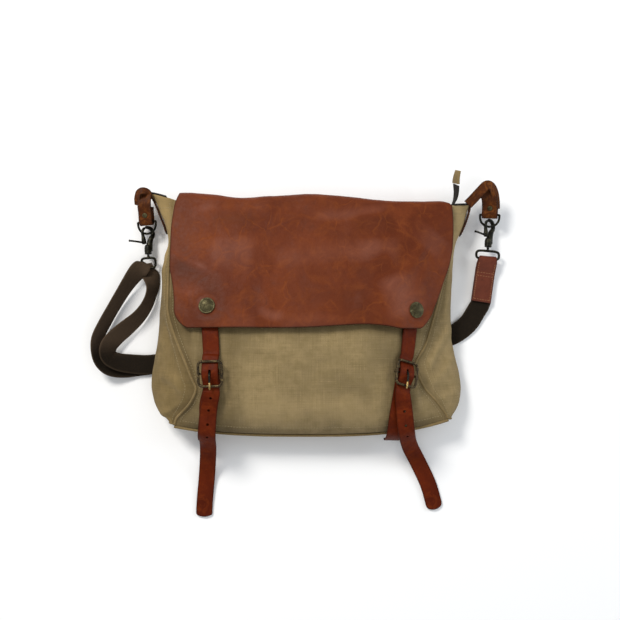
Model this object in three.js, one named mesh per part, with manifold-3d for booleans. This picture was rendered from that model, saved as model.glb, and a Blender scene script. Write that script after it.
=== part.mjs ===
// Messenger bag lying on its back, front up. Millimetres, +Z out of the front, +Y toward the top edge.
import * as THREE from "three";
import Module from "manifold-3d";

const wasm = await Module();
wasm.setup();

// Driving dimensions
const CANVAS = 1.8; // canvas with its backing
const FLAP_T = 2.0; // flap leather
const STRAP_W = 20.5; // closure strap width
const STRAP_T = 2.2; // closure strap leather
const WEB_W = 25; // shoulder webbing width
const WEB_T = 1.6; // shoulder webbing thickness
const CAP_R = 10; // press-stud cap radius
const WIRE = 1.6; // ring and buckle wire radius
const CHANNEL = 8; // height of the hollow the webbing makes under the bag
const FLAP_LIFT = 8.4; // flap mid surface over the front panel, at the press-studs
const HOOK_T = 3.2; // thickness of the cast hooks
const AXIS_BACK = [0, 139.6, 3.0]; // where the flap leaves the back seam
const AXIS_FOLD = [0, 130.2, 52.0]; // where the flap turns onto the front

const DEG = Math.PI / 180;
const root = new THREE.Group();
root.name = "messenger_bag";

const COLORS = {
  canvas: 0x8b7857, lining: 0x6b5f49, flap: 0x773f23, strap: 0x602a16, tab: 0x7b4520, webbing: 0x3c2f24,
  bronze: 0x33332a, brass: 0x6a6448, zip: 0x3a352f, tape: 0x2c2a27,
};

function add(name, geometry, slot) {
  const mesh = new THREE.Mesh(geometry, new THREE.MeshStandardMaterial({ color: COLORS[slot] }));
  mesh.name = name;
  root.add(mesh);
}

// Smooth value from a table of [s, value] rows, without overshoot
function table(rows) {
  const n = rows.length;
  const d = [];
  for (let i = 0; i < n - 1; i++) d.push((rows[i + 1][1] - rows[i][1]) / (rows[i + 1][0] - rows[i][0]));
  const m = rows.map((_, i) => {
    if (i === 0) return d[0];
    if (i === n - 1) return d[n - 2];
    if (d[i - 1] * d[i] <= 0) return 0;
    return (2 * d[i - 1] * d[i]) / (d[i - 1] + d[i]);
  });
  return (s) => {
    if (s <= rows[0][0]) return rows[0][1];
    if (s >= rows[n - 1][0]) return rows[n - 1][1];
    let i = 0;
    while (s > rows[i + 1][0]) i++;
    const h = rows[i + 1][0] - rows[i][0];
    const t = (s - rows[i][0]) / h;
    const t2 = t * t;
    const t3 = t2 * t;
    return (2 * t3 - 3 * t2 + 1) * rows[i][1] + (t3 - 2 * t2 + t) * h * m[i] + (-2 * t3 + 3 * t2) * rows[i + 1][1] + (t3 - t2) * h * m[i + 1];
  };
}
// Catmull-Rom through rows of numbers, s from 0 to 1 by row
function spline(rows) {
  const n = rows.length - 1;
  return (s) => {
    const f = Math.min(Math.max(s, 0), 1) * n;
    const i = Math.min(Math.floor(f), n - 1);
    const t = f - i;
    const a = rows[Math.max(i - 1, 0)], b = rows[i], c = rows[i + 1], d = rows[Math.min(i + 2, n)];
    return b.map((_, k) => 0.5 * (2 * b[k] + (c[k] - a[k]) * t + (2 * a[k] - 5 * b[k] + 4 * c[k] - d[k]) * t * t + (3 * b[k] - a[k] - 3 * c[k] + d[k]) * t * t * t));
  };
}
const lerp = (a, b, t) => a + (b - a) * t;
const smooth = (x) => (x <= 0 ? 0 : x >= 1 ? 1 : x * x * (3 - 2 * x));
const sub = (a, b) => [a[0] - b[0], a[1] - b[1], a[2] - b[2]];
const cross = (a, b) => [a[1] * b[2] - a[2] * b[1], a[2] * b[0] - a[0] * b[2], a[0] * b[1] - a[1] * b[0]];
const unit = (a) => { const l = Math.hypot(...a); return [a[0] / l, a[1] / l, a[2] / l]; };
const madd = (a, b, s) => [a[0] + b[0] * s, a[1] + b[1] * s, a[2] + b[2] * s];

function geometryOf(points, faces) {
  let volume = 0;
  for (const [a, b, c] of faces) {
    const p = points[a], q = points[b], r = points[c];
    volume += (p[0] * (q[1] * r[2] - q[2] * r[1]) + p[1] * (q[2] * r[0] - q[0] * r[2]) + p[2] * (q[0] * r[1] - q[1] * r[0])) / 6;
  }
  const g = new THREE.BufferGeometry();
  g.setAttribute("position", new THREE.Float32BufferAttribute(points.flat(), 3));
  g.setIndex(faces.flatMap((f) => (volume < 0 ? [f[0], f[2], f[1]] : f)));
  return g;
}
// Closed thick sheet over P(u, v); from `below` under the surface to `above` over it, along its normal
function sheet(P, us, vs, below, above, flip = false) {
  const e = 1e-3;
  const nu = us.length, nv = vs.length;
  const low = [], high = [];
  for (let j = 0; j < nv; j++) {
    for (let i = 0; i < nu; i++) {
      const u = us[i], v = vs[j];
      const p = P(u, v);
      const du = sub(P(u + e, v), P(u - e, v));
      const dv = sub(P(u, v + e), P(u, v - e));
      let n = unit(cross(du, dv));
      if (flip) n = n.map((k) => -k);
      low.push(madd(p, n, -below));
      high.push(madd(p, n, above));
    }
  }
  return stitch(low, high, nu, nv);
}
function stitch(low, high, nu, nv) {
  const N = nu * nv;
  const points = [...low, ...high];
  const faces = [];
  const at = (i, j) => j * nu + i;
  for (let j = 0; j < nv - 1; j++) {
    for (let i = 0; i < nu - 1; i++) {
      const a = at(i, j), b = at(i + 1, j), c = at(i + 1, j + 1), d = at(i, j + 1);
      faces.push([a + N, b + N, c + N], [a + N, c + N, d + N], [a, c, b], [a, d, c]);
    }
  }
  const rim = [];
  for (let i = 0; i < nu - 1; i++) rim.push([at(i, 0), at(i + 1, 0)]);
  for (let j = 0; j < nv - 1; j++) rim.push([at(nu - 1, j), at(nu - 1, j + 1)]);
  for (let i = nu - 1; i > 0; i--) rim.push([at(i, nv - 1), at(i - 1, nv - 1)]);
  for (let j = nv - 1; j > 0; j--) rim.push([at(0, j), at(0, j - 1)]);
  for (const [a, b] of rim) faces.push([a, b, b + N], [a, b + N, a + N]);
  return geometryOf(points, faces);
}
const even = (a, b, n) => Array.from({ length: n + 1 }, (_, i) => lerp(a, b, i / n));

// A flat strip: rows of { p, w } with p on its mid surface and w its width direction
function strip(rows, width, thick, cells = 1) {
  const low = [], high = [];
  rows.forEach((row, j) => {
    const a = rows[Math.max(j - 1, 0)].p, b = rows[Math.min(j + 1, rows.length - 1)].p;
    const t = unit(sub(b, a));
    let w = madd(row.w, t, -(row.w[0] * t[0] + row.w[1] * t[1] + row.w[2] * t[2]));
    w = unit(w);
    const n = unit(cross(w, t));
    const wd = row.width ?? width;
    for (let i = 0; i <= cells; i++) {
      const p = madd(row.p, w, lerp(-wd / 2, wd / 2, i / cells));
      low.push(madd(p, n, -thick / 2));
      high.push(madd(p, n, thick / 2));
    }
  });
  return stitch(low, high, cells + 1, rows.length);
}
// Round wire along a path
function wire(path, r, sides, closed) {
  const n = path.length;
  const points = [], faces = [];
  let normal = null;
  const frames = [];
  for (let i = 0; i < n; i++) {
    const a = closed ? path[(i + n - 1) % n] : path[Math.max(i - 1, 0)];
    const b = closed ? path[(i + 1) % n] : path[Math.min(i + 1, n - 1)];
    const t = unit(sub(b, a));
    if (!normal) normal = unit(cross(t, Math.abs(t[2]) < 0.9 ? [0, 0, 1] : [1, 0, 0]));
    normal = unit(madd(normal, t, -(normal[0] * t[0] + normal[1] * t[1] + normal[2] * t[2])));
    frames.push([normal, cross(t, normal)]);
  }
  for (let i = 0; i < n; i++) {
    const [a, b] = frames[i];
    for (let k = 0; k < sides; k++) {
      const q = ((k + 0.5) / sides) * 2 * Math.PI;
      points.push(madd(madd(path[i], a, r * Math.cos(q)), b, r * Math.sin(q)));
    }
  }
  const rings = closed ? n : n - 1;
  for (let i = 0; i < rings; i++) {
    const j = (i + 1) % n;
    for (let k = 0; k < sides; k++) {
      const l = (k + 1) % sides;
      faces.push([i * sides + k, i * sides + l, j * sides + l], [i * sides + k, j * sides + l, j * sides + k]);
    }
  }
  if (!closed) {
    for (let k = 1; k < sides - 1; k++) {
      faces.push([0, k + 1, k]);
      const o = (n - 1) * sides;
      faces.push([o, o + k, o + k + 1]);
    }
  }
  return geometryOf(points, faces);
}
// Solid of revolution about an axis: profile of [radius, height], first and last on the axis or a closed ring
function turned(profile, centre, axis, sides, ring = false) {
  const z = unit(axis);
  const x = unit(cross(Math.abs(z[1]) < 0.9 ? [0, 1, 0] : [1, 0, 0], z));
  const y = cross(z, x);
  const points = [], faces = [];
  const index = profile.map(([r, h]) => {
    const start = points.length;
    if (r < 1e-6) { points.push(madd(centre, z, h)); return [start]; }
    const row = [];
    for (let k = 0; k < sides; k++) {
      const q = (k / sides) * 2 * Math.PI;
      row.push(points.length);
      points.push(madd(madd(madd(centre, z, h), x, r * Math.cos(q)), y, r * Math.sin(q)));
    }
    return row;
  });
  const count = ring ? profile.length : profile.length - 1;
  for (let i = 0; i < count; i++) {
    const a = index[i], b = index[(i + 1) % profile.length];
    for (let k = 0; k < sides; k++) {
      const l = (k + 1) % sides;
      if (a.length === 1) faces.push([a[0], b[k], b[l]]);
      else if (b.length === 1) faces.push([a[k], b[0], a[l]]);
      else faces.push([a[k], b[k], b[l]], [a[k], b[l], a[l]]);
    }
  }
  return geometryOf(points, faces);
}
function place(geometry, origin, x, y, z) {
  const m = new THREE.Matrix4().makeBasis(new THREE.Vector3(...x), new THREE.Vector3(...y), new THREE.Vector3(...z));
  m.setPosition(...origin);
  geometry.applyMatrix4(m);
  return geometry;
}
function solid(geometry) {
  const g = geometry.clone();
  g.deleteAttribute("normal");
  g.deleteAttribute("uv");
  const pos = g.getAttribute("position");
  const keys = new Map(), verts = [], remap = [];
  for (let i = 0; i < pos.count; i++) {
    const p = [pos.getX(i), pos.getY(i), pos.getZ(i)];
    const key = p.map((v) => Math.round(v * 1e4)).join(",");
    if (!keys.has(key)) { keys.set(key, verts.length / 3); verts.push(...p); }
    remap.push(keys.get(key));
  }
  const index = g.index ? Array.from(g.index.array) : Array.from({ length: pos.count }, (_, i) => i);
  const tris = [];
  for (let i = 0; i < index.length; i += 3) {
    const t = [remap[index[i]], remap[index[i + 1]], remap[index[i + 2]]];
    if (t[0] !== t[1] && t[1] !== t[2] && t[0] !== t[2]) tris.push(...t);
  }
  return new wasm.Manifold(new wasm.Mesh({ numProp: 3, vertProperties: new Float32Array(verts), triVerts: new Uint32Array(tris) }));
}
function fromSolid(m) {
  const mesh = m.getMesh();
  const g = new THREE.BufferGeometry();
  const pts = [];
  for (let i = 0; i < mesh.vertProperties.length; i += mesh.numProp) pts.push(mesh.vertProperties[i], mesh.vertProperties[i + 1], mesh.vertProperties[i + 2]);
  g.setAttribute("position", new THREE.Float32BufferAttribute(pts, 3));
  g.setIndex(Array.from(mesh.triVerts));
  return g;
}
function box(cx, cy, cz, sx, sy, sz) {
  return new THREE.BoxGeometry(sx, sy, sz).translate(cx, cy, cz);
}

// ---- Body surfaces. t runs 0 at the top edge to 1 at the bottom seam, U -1 left seam to 1 right seam
const yTop = table([[-205, 141], [-170, 138], [-140, 134], [-100, 131], [-40, 130], [130, 129], [176, 131], [212, 133]]);
const yBottom = (x) => -157 + (x < 0 ? 11 * Math.abs(x / 166) ** 3 : 19 * (x / 174) ** 3);
const zMid = table([[0, 45], [0.126, 53], [0.262, 61], [0.398, 68], [0.534, 73], [0.67, 75], [0.789, 73], [0.874, 67], [0.935, 59], [0.976, 47], [1, 34]]);
const xLeft = table([[0, -168], [0.15, -171], [0.3, -173], [0.49, -172], [0.59, -164.5], [0.66, -156], [0.735, -146], [0.783, -140], [0.823, -135], [0.869, -140], [0.9, -146], [0.934, -155], [0.963, -162], [1, -165.5]]);
const zLeft = table([[0, 40], [0.26, 50], [0.44, 57], [0.6, 64], [0.72, 67], [0.82, 65], [0.88, 57], [0.935, 44], [0.97, 37], [1, 34]]);
const xRight = table([[0, 174], [0.1, 178], [0.25, 176], [0.35, 170], [0.458, 162], [0.558, 153.5], [0.643, 145], [0.715, 133], [0.77, 136.4], [0.832, 144], [0.888, 156], [0.967, 170], [1, 174]]);
const zRight = table([[0, 38], [0.26, 37], [0.46, 35], [0.6, 38], [0.72, 43], [0.8, 44], [0.88, 41], [0.967, 35], [1, 34]]);

const tOf = (x, y) => (yTop(x) - y) / (yTop(x) - yBottom(x));
function height(U, t) {
  const m = zMid(t);
  if (U < 0) { const s = Math.max(0, (-U - 0.5) / 0.5); return m - (m - zLeft(t)) * s * s; }
  const s = Math.max(0, (U - 0.42) / 0.58);
  return m - (m - zRight(t)) * s * s;
}
function frontZ(x, y) {
  const t = Math.min(Math.max(tOf(x, y), 0), 1);
  return height(x < 0 ? -x / xLeft(t) : x / xRight(t), t);
}
function front(U, t) {
  const x = U < 0 ? -U * xLeft(t) : U * xRight(t);
  return [x, lerp(yTop(x), yBottom(x), t), height(U, t)];
}
const tRows = [0, 0.08, 0.18, 0.29, 0.4, 0.5, 0.59, 0.67, 0.735, 0.79, 0.83, 0.875, 0.92, 0.96, 0.985, 1];
const uRows = [-1, -0.9, -0.78, -0.66, -0.52, -0.3, 0, 0.25, 0.42, 0.56, 0.7, 0.82, 0.92, 1];
// the front wall ends 0.4 mm short of its seams
add("front_panel", sheet((u, v) => front(u * 0.9955, lerp(0.0, 0.993, v)), uRows, tRows, CANVAS, 0, true), "canvas");

// Hollow the webbing makes under the bag: a straight run from the left side to the right
const RUN = [[-199, -67], [196, -34]];
function lift(x, y) {
  const d = [RUN[1][0] - RUN[0][0], RUN[1][1] - RUN[0][1]];
  const l = Math.hypot(...d);
  const off = Math.abs((x - RUN[0][0]) * d[1] - (y - RUN[0][1]) * d[0]) / l;
  return CHANNEL * (1 - smooth((off - 19) / 12));
}
const raise = (p) => [p[0], p[1], p[2] + lift(p[0], p[1]) * Math.max(0, 1 - p[2] / 30)];

// Side gussets: a is 0 at the front seam, 0.5 on the outer fold, 1 at the back seam
const foldLeft = table([[0, -204.5], [0.02, -196.5], [0.05, -190.5], [0.1, -184], [0.14, -180.5], [0.19, -178.6], [0.27, -182], [0.32, -184.6], [0.465, -187], [0.642, -189.5], [0.807, -193.5], [0.83, -193.5], [0.892, -191.5], [0.938, -187], [0.968, -180], [1, -167.5]]);
const foldRight = table([[0, 209], [0.07, 202.5], [0.12, 197], [0.173, 190], [0.24, 185.5], [0.36, 183], [0.49, 181], [0.614, 179.5], [0.677, 181.5], [0.727, 185], [0.782, 188.5], [0.844, 190.5], [0.888, 190], [0.925, 188], [0.953, 184.5], [1, 176.5]]);
const backLeft = table([[0, -175], [0.26, -171], [0.5, -176], [0.7, -179], [0.83, -180], [0.93, -175], [1, -162]]);
const backRight = table([[0, 178], [0.24, 174], [0.5, 172], [0.7, 174], [0.84, 178], [0.93, 176], [1, 168]]);
function gusset(side, a, t) {
  const p0 = front(side, t);
  const bx = side < 0 ? backLeft(t) : backRight(t);
  const p1 = [bx, lerp(137, -150 + 9 * Math.abs(bx / 166) ** 3, t), 2.2];
  const fx = side < 0 ? foldLeft(t) : foldRight(t);
  const yTopFold = side < 0 ? 149 : 138.5;
  const pm = [fx, (p0[1] + p1[1]) / 2 + (yTopFold - 136) * Math.max(0, 1 - t / 0.06) ** 1.6, lerp(21, lerp(22, 17, side > 0 ? 1 : 0), 0.5) + 8 * smooth(t / 0.5) * (side < 0 ? 1 : 0.5)];
  const l0 = 2 * (a - 0.5) * (a - 1), l1 = -4 * a * (a - 1), l2 = 2 * a * (a - 0.5);
  return raise([0, 1, 2].map((k) => l0 * p0[k] + l1 * pm[k] + l2 * p1[k]));
}
const gRows = [0, 0.02, 0.05, 0.12, 0.22, 0.34, 0.46, 0.56, 0.62, 0.66, 0.7, 0.74, 0.79, 0.85, 0.9, 0.94, 0.97, 1];
const aRows = [0, 0.15, 0.32, 0.5, 0.68, 0.85, 1];
for (const side of [-1, 1]) {
  const P = (u, v) => gusset(side, lerp(0.022, 0.986, u), lerp(0.002, 0.985, v));
  add(side < 0 ? "gusset_left" : "gusset_right", sheet(P, aRows, gRows, CANVAS, 0, side > 0), "canvas");
}
// Bottom gusset
function bottom(u, a) {
  const xf = lerp(-165.5, 174, u), xb = lerp(-162, 168, u);
  const p0 = [xf, yBottom(xf), 34];
  const p1 = [xb, -150 + 9 * Math.abs(xb / 166) ** 3, 2.2];
  const pm = [(xf + xb) / 2, Math.min(p0[1], p1[1]) - 1.5 * Math.sin(Math.PI * u), 22];
  const l0 = 2 * (a - 0.5) * (a - 1), l1 = -4 * a * (a - 1), l2 = 2 * a * (a - 0.5);
  return [0, 1, 2].map((k) => l0 * p0[k] + l1 * pm[k] + l2 * p1[k]);
}
add("bottom_gusset", sheet((u, v) => bottom(lerp(0.004, 0.996, u), lerp(0.07, 0.98, v)), even(0, 1, 12), even(0, 1, 4), CANVAS, 0, true), "canvas");

// Back panel: flat underside at z = 0, lifted only along the webbing
function back(u, t) {
  const l = backLeft(t), r = backRight(t);
  const x = lerp(l + 0.8, r - 0.8, u);
  const y = lerp(137, -149.4 + 9 * Math.abs(x / 166) ** 3, t);
  return [x, y, lift(x, y)];
}
const bRows = [0, 0.15, 0.32, 0.46, 0.52, 0.56, 0.6, 0.64, 0.68, 0.72, 0.76, 0.8, 0.9, 1];
{
  const us = even(0, 1, 10);
  const low = [], high = [];
  for (const t of bRows) for (const u of us) { const p = back(u, t); low.push(p); high.push([p[0], p[1], p[2] + 1.8]); }
  add("back_panel", stitch(low, high, us.length, bRows.length), "canvas");
}
// Lining: down inside the front, round the bottom and up inside the back
{
  const path = (x) => {
    const rows = [];
    for (const y of [106, 60, 0, -60, -110, -134]) rows.push([x, y, frontZ(x, y) - 6]);
    rows.push([x, -142, 30], [x, -142.5, 18], [x, -136, 7]);
    const yc = lerp(RUN[0][1], RUN[1][1], (x - RUN[0][0]) / (RUN[1][0] - RUN[0][0]));
    for (const [d, h] of [[-36, 0], [-21, CHANNEL], [0, CHANNEL], [21, CHANNEL], [36, 0]]) rows.push([x, yc + d, 4.6 + h]);
    for (const y of [40, 106]) rows.push([x, y, 4.6]);
    return spline(rows);
  };
  const P = (u, v) => path(lerp(-122, 126, u))(v);
  add("lining", sheet(P, even(0, 1, 4), even(0, 1, 30), 0.4, 0.4), "lining");
  const pocket = (u, v) => [lerp(-90, 90, u), lerp(104, 14, v), 6.4 + 0.8 * Math.sin(Math.PI * u) * Math.sin(Math.PI * v)];
  add("slip_pocket", sheet(pocket, even(0, 1, 4), even(0, 1, 4), 0.5, 0.5), "lining");
}

// ---- Zipper, recessed under the flap's crown
const ZY = 112, ZZ = 24;
const zipX = [-158, 168];
const facing = (front_, u, v) => {
  const x = lerp(zipX[0], zipX[1], u);
  return front_
    ? [x, lerp(127, ZY + 2, v) + 0, lerp(frontZ(x, 128) - 4.2, 31.5, v)]
    : [x, lerp(131, ZY + 2, v), lerp(4.9, 16.5, v)];
};
add("zip_facing_front", sheet((u, v) => facing(true, u, v), even(0, 1, 8), [0, 0.5, 1], 0.5, 0.5), "canvas");
add("zip_facing_back", sheet((u, v) => facing(false, u, v), even(0, 1, 6), [0, 0.5, 1], 0.5, 0.5), "canvas");
add("zip_tape_front", box((zipX[0] + zipX[1]) / 2, ZY + 1.6, ZZ + 4.1, zipX[1] - zipX[0], 0.8, 4.6), "tape");
add("zip_tape_back", box((zipX[0] + zipX[1]) / 2, ZY + 1.6, ZZ - 4.1, zipX[1] - zipX[0], 0.8, 4.6), "tape");
// Teeth: one comb per side, a spine with its teeth
function comb(dir, phase) {
  const pts = [];
  const x0 = zipX[0] + 6, x1 = zipX[1] - 4, pitch = 14;
  pts.push([x0, dir * 1.75], [x1, dir * 1.75], [x1, dir * 0.85]);
  for (let x = x1 - pitch * phase - 2; x > x0 + pitch; x -= pitch) pts.push([x, dir * 0.85], [x - 0.6, dir * 0.12], [x - 3, dir * 0.12], [x - 3.6, dir * 0.85]);
  pts.push([x0, dir * 0.85]);
  const shape = new THREE.Shape(pts.map(([a, b]) => new THREE.Vector2(a, b)));
  const g = new THREE.ExtrudeGeometry(shape, { depth: 1.6, bevelEnabled: false, steps: 1 });
  // shape plane to X and Z, depth along Y
  return place(g, [0, ZY + 2.4, ZZ], [1, 0, 0], [0, 0, 1], [0, -1, 0]);
}
add("zip_teeth_front", fromSolid(solid(comb(1, 0))), "zip");
add("zip_teeth_back", fromSolid(solid(comb(-1, 0.5))), "zip");
const SX = -138; // slider, at the closed end on the left
{
  // front shell of the slider: a plate with two side flanges over the closed teeth
  const outer = solid(box(SX, ZY + 4.0, ZZ, 11, 3.2, 8.6));
  const slot = solid(box(SX, ZY + 2.2, ZZ, 14, 1.8, 4.6));
  const bridge = solid(box(SX, ZY + 6.4, ZZ, 6.4, 3.4, 2.4));
  const hole = solid(box(SX, ZY + 6.5, ZZ, 3.4, 1.9, 6));
  add("zip_slider", fromSolid(outer.add(bridge).subtract(slot).subtract(hole)), "zip");
  const plate = solid(new THREE.ExtrudeGeometry(new THREE.Shape([[-1.1, -2.7], [20, -3.4], [22, -1.6], [22, 1.6], [20, 3.4], [-1.1, 2.7]].map((p) => new THREE.Vector2(...p))), { depth: 1.2, bevelEnabled: false }));
  const eye = solid(new THREE.BoxGeometry(3.6, 3.4, 6).translate(1.9, 0, 0.6));
  const g = fromSolid(plate.subtract(eye));
  // lies along the zipper to the right, threaded through the slider's bridge
  add("zip_pull", place(g, [SX + 0.5, ZY + 7.1, ZZ], [1, 0, 0], [0, 0, 1], [0, -1, 0]), "zip");
}
add("zip_stop", box(zipX[1] - 2.0, ZY + 1.6, ZZ, 3, 3.2, 3.2), "zip");

// Zipper tail: tape that comes out of the right end and stands up past the flap, with its canvas cap
{
  const rows = [];
  const path = spline([[170.4, 114.2, 24], [176.6, 121, 24.5], [183, 131, 26], [187.2, 140, 31], [188.4, 148, 38.5], [187.6, 157, 45]]);
  for (let i = 0; i <= 12; i++) { const s = i / 12; rows.push({ p: path(s), w: [lerp(0, 0.35, s), 0, lerp(1, 0.94, s)], width: lerp(8, 13, smooth(s * 1.1 - 0.3)) }); }
  add("zip_tail_tape", strip(rows, 12, 1.6, 2), "tape");
  const cap = [];
  const path2 = spline([[187.3, 158.7, 45.5], [187.4, 163.5, 47.5], [188.2, 169, 49.5], [189.4, 174, 51]]);
  for (let i = 0; i <= 5; i++) { const s = i / 5; cap.push({ p: path2(s), w: [0.35, 0, 0.94], width: lerp(13.6, 11, s * s) }); }
  add("zip_tail_cap", strip(cap, 13, 3.2, 2), "canvas");
}

// ---- Flap
add("flap_seam_strip", box(5, 132.2, 2.75, 338, 9.6, 1.6), "flap");
const flapL = table([[-30, -162.6], [-2, -162.6], [18, -164.5], [37, -168], [49.5, -170.8], [70, -171.2], [99, -171.1], [131, -168.3], [150, -166]]);
const flapR = table([[-30, 151.5], [-20.7, 151.6], [-4.5, 155.2], [16, 163], [37, 170.5], [58, 178], [79, 182.4], [107, 183.3], [131, 182.2], [150, 181]]);
const flapBottom = table([[-170, -28.5], [-104, -29.2], [-43, -29.3], [2.5, -28.7], [42, -26.2], [71, -24.8], [95, -26.7], [114, -29.4], [139, -28], [160, -27]]);
const gap = table([[-40, FLAP_LIFT], [0, FLAP_LIFT], [25, FLAP_LIFT - 1.5], [60, 5], [135, 4.2]]);
function flapZ(x, y) {
  const t = Math.min(Math.max(tOf(x, y), 0), 1);
  const U = x < 0 ? -x / xLeft(t) : x / xRight(t);
  return height(U, t) + gap(y) / Math.min(1, Math.max(0.76, frontNormal(x, y)[2]));
}
function frontNormal(x, y) {
  const e = 4;
  return unit([-(frontZ(x + e, y) - frontZ(x - e, y)) / (2 * e), -(frontZ(x, y + e) - frontZ(x, y - e)) / (2 * e), 1]);
}
// v: 0 at the fold to 1 at the hem; the last rows draw in to round the corners
function flapEdge(v) {
  const y = lerp(AXIS_FOLD[1] - 0.6, -27.5, v);
  const c = Math.max(0, (-2 - y) / 26.5); // 0 above the corner, 1 at the hem
  const inset = 26 * (1 - Math.sqrt(Math.max(0, 1 - Math.min(c, 1) ** 2)));
  const insetR = 22 * (1 - Math.sqrt(Math.max(0, 1 - Math.min(c, 1) ** 2)));
  return [y, flapL(y) + inset, flapR(y) - insetR];
}
function flapPoint(u, v) {
  const [y0, l, r] = flapEdge(v);
  const x = lerp(l, r, u);
  const y = y0 + (flapBottom(x) + 28.3) * smooth((v - 0.7) / 0.3);
  return [x, y, flapZ(x, y)];
}
const fRows = [0, 0.12, 0.26, 0.4, 0.54, 0.66, 0.76, 0.84, 0.885, 0.925, 0.96, 0.982, 0.996];
const fCols = [0, 0.07, 0.15, 0.26, 0.4, 0.54, 0.66, 0.75, 0.82, 0.88, 0.94, 1];
add("flap_front", sheet(flapPoint, fCols, fRows, FLAP_T / 2, FLAP_T / 2, true), "flap");
const crownC = table([[-168, 158], [-162, 156], [-122, 150], [-83, 144.5], [-45, 147], [2, 150], [58, 145], [92, 140], [126, 137.5], [161, 140], [182, 143]]);
function crown(u, v) {
  const l = lerp(-168, flapL(130), v), r = lerp(172.5, flapR(130), smooth(v * 1.2));
  const x = lerp(l, r, u);
  const p0 = [AXIS_BACK[1] - FLAP_T / 2 - 0.05, AXIS_BACK[2] + 0.2];
  const zt = flapZ(x, AXIS_FOLD[1]);
  const p2 = [AXIS_FOLD[1] + 0.1, zt];
  const c1 = [Math.max(crownC(x), 139), zt * 0.62 + 2], c2 = [Math.max(crownC(x), 138.5) - 2, zt + 0.6];
  const w = 1 - v;
  const f = (k) => w * w * w * p0[k] + 3 * w * w * v * c1[k] + 3 * w * v * v * c2[k] + v * v * v * p2[k];
  return [x, f(0), f(1)];
}
add("flap_crown", sheet(crown, even(0, 1, 9), even(0, 1, 8), FLAP_T / 2, FLAP_T / 2, true), "flap");

// Press-studs: cap over the flap, socket under it, stud on the closure strap
const studs = { left: [-122, -1.5], right: [132, -5] };
function flapNormal(x, y) {
  const e = 3;
  return unit([-(flapZ(x + e, y) - flapZ(x - e, y)) / (2 * e), -(flapZ(x, y + e) - flapZ(x, y - e)) / (2 * e), 1]);
}
for (const [name, [x, y]] of Object.entries(studs)) {
  const n = flapNormal(x, y);
  const c = [x, y, flapZ(x, y)];
  const out = FLAP_T / 2 + 0.35;
  add(`snap_cap_${name}`, turned([[0, out], [CAP_R, out + 0.2], [CAP_R, out + 1.0], [8.4, out + 2.1], [5, out + 3.0], [0, out + 3.35]], c, n, 16), "brass");
  add(`snap_socket_${name}`, turned([[4.6, -out - 0.7], [7, -out - 0.7], [7, -out - 1.8], [4.6, -out - 1.8]], c, n, 12, true), "brass");
  add(`snap_stud_${name}`, turned([[0, -out - 3.7], [5.6, -out - 3.7], [5.6, -out - 3.1], [3.4, -out - 3.0], [3.4, -out - 1.3], [0, -out - 1.1]], c, n, 12), "brass");
}

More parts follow.
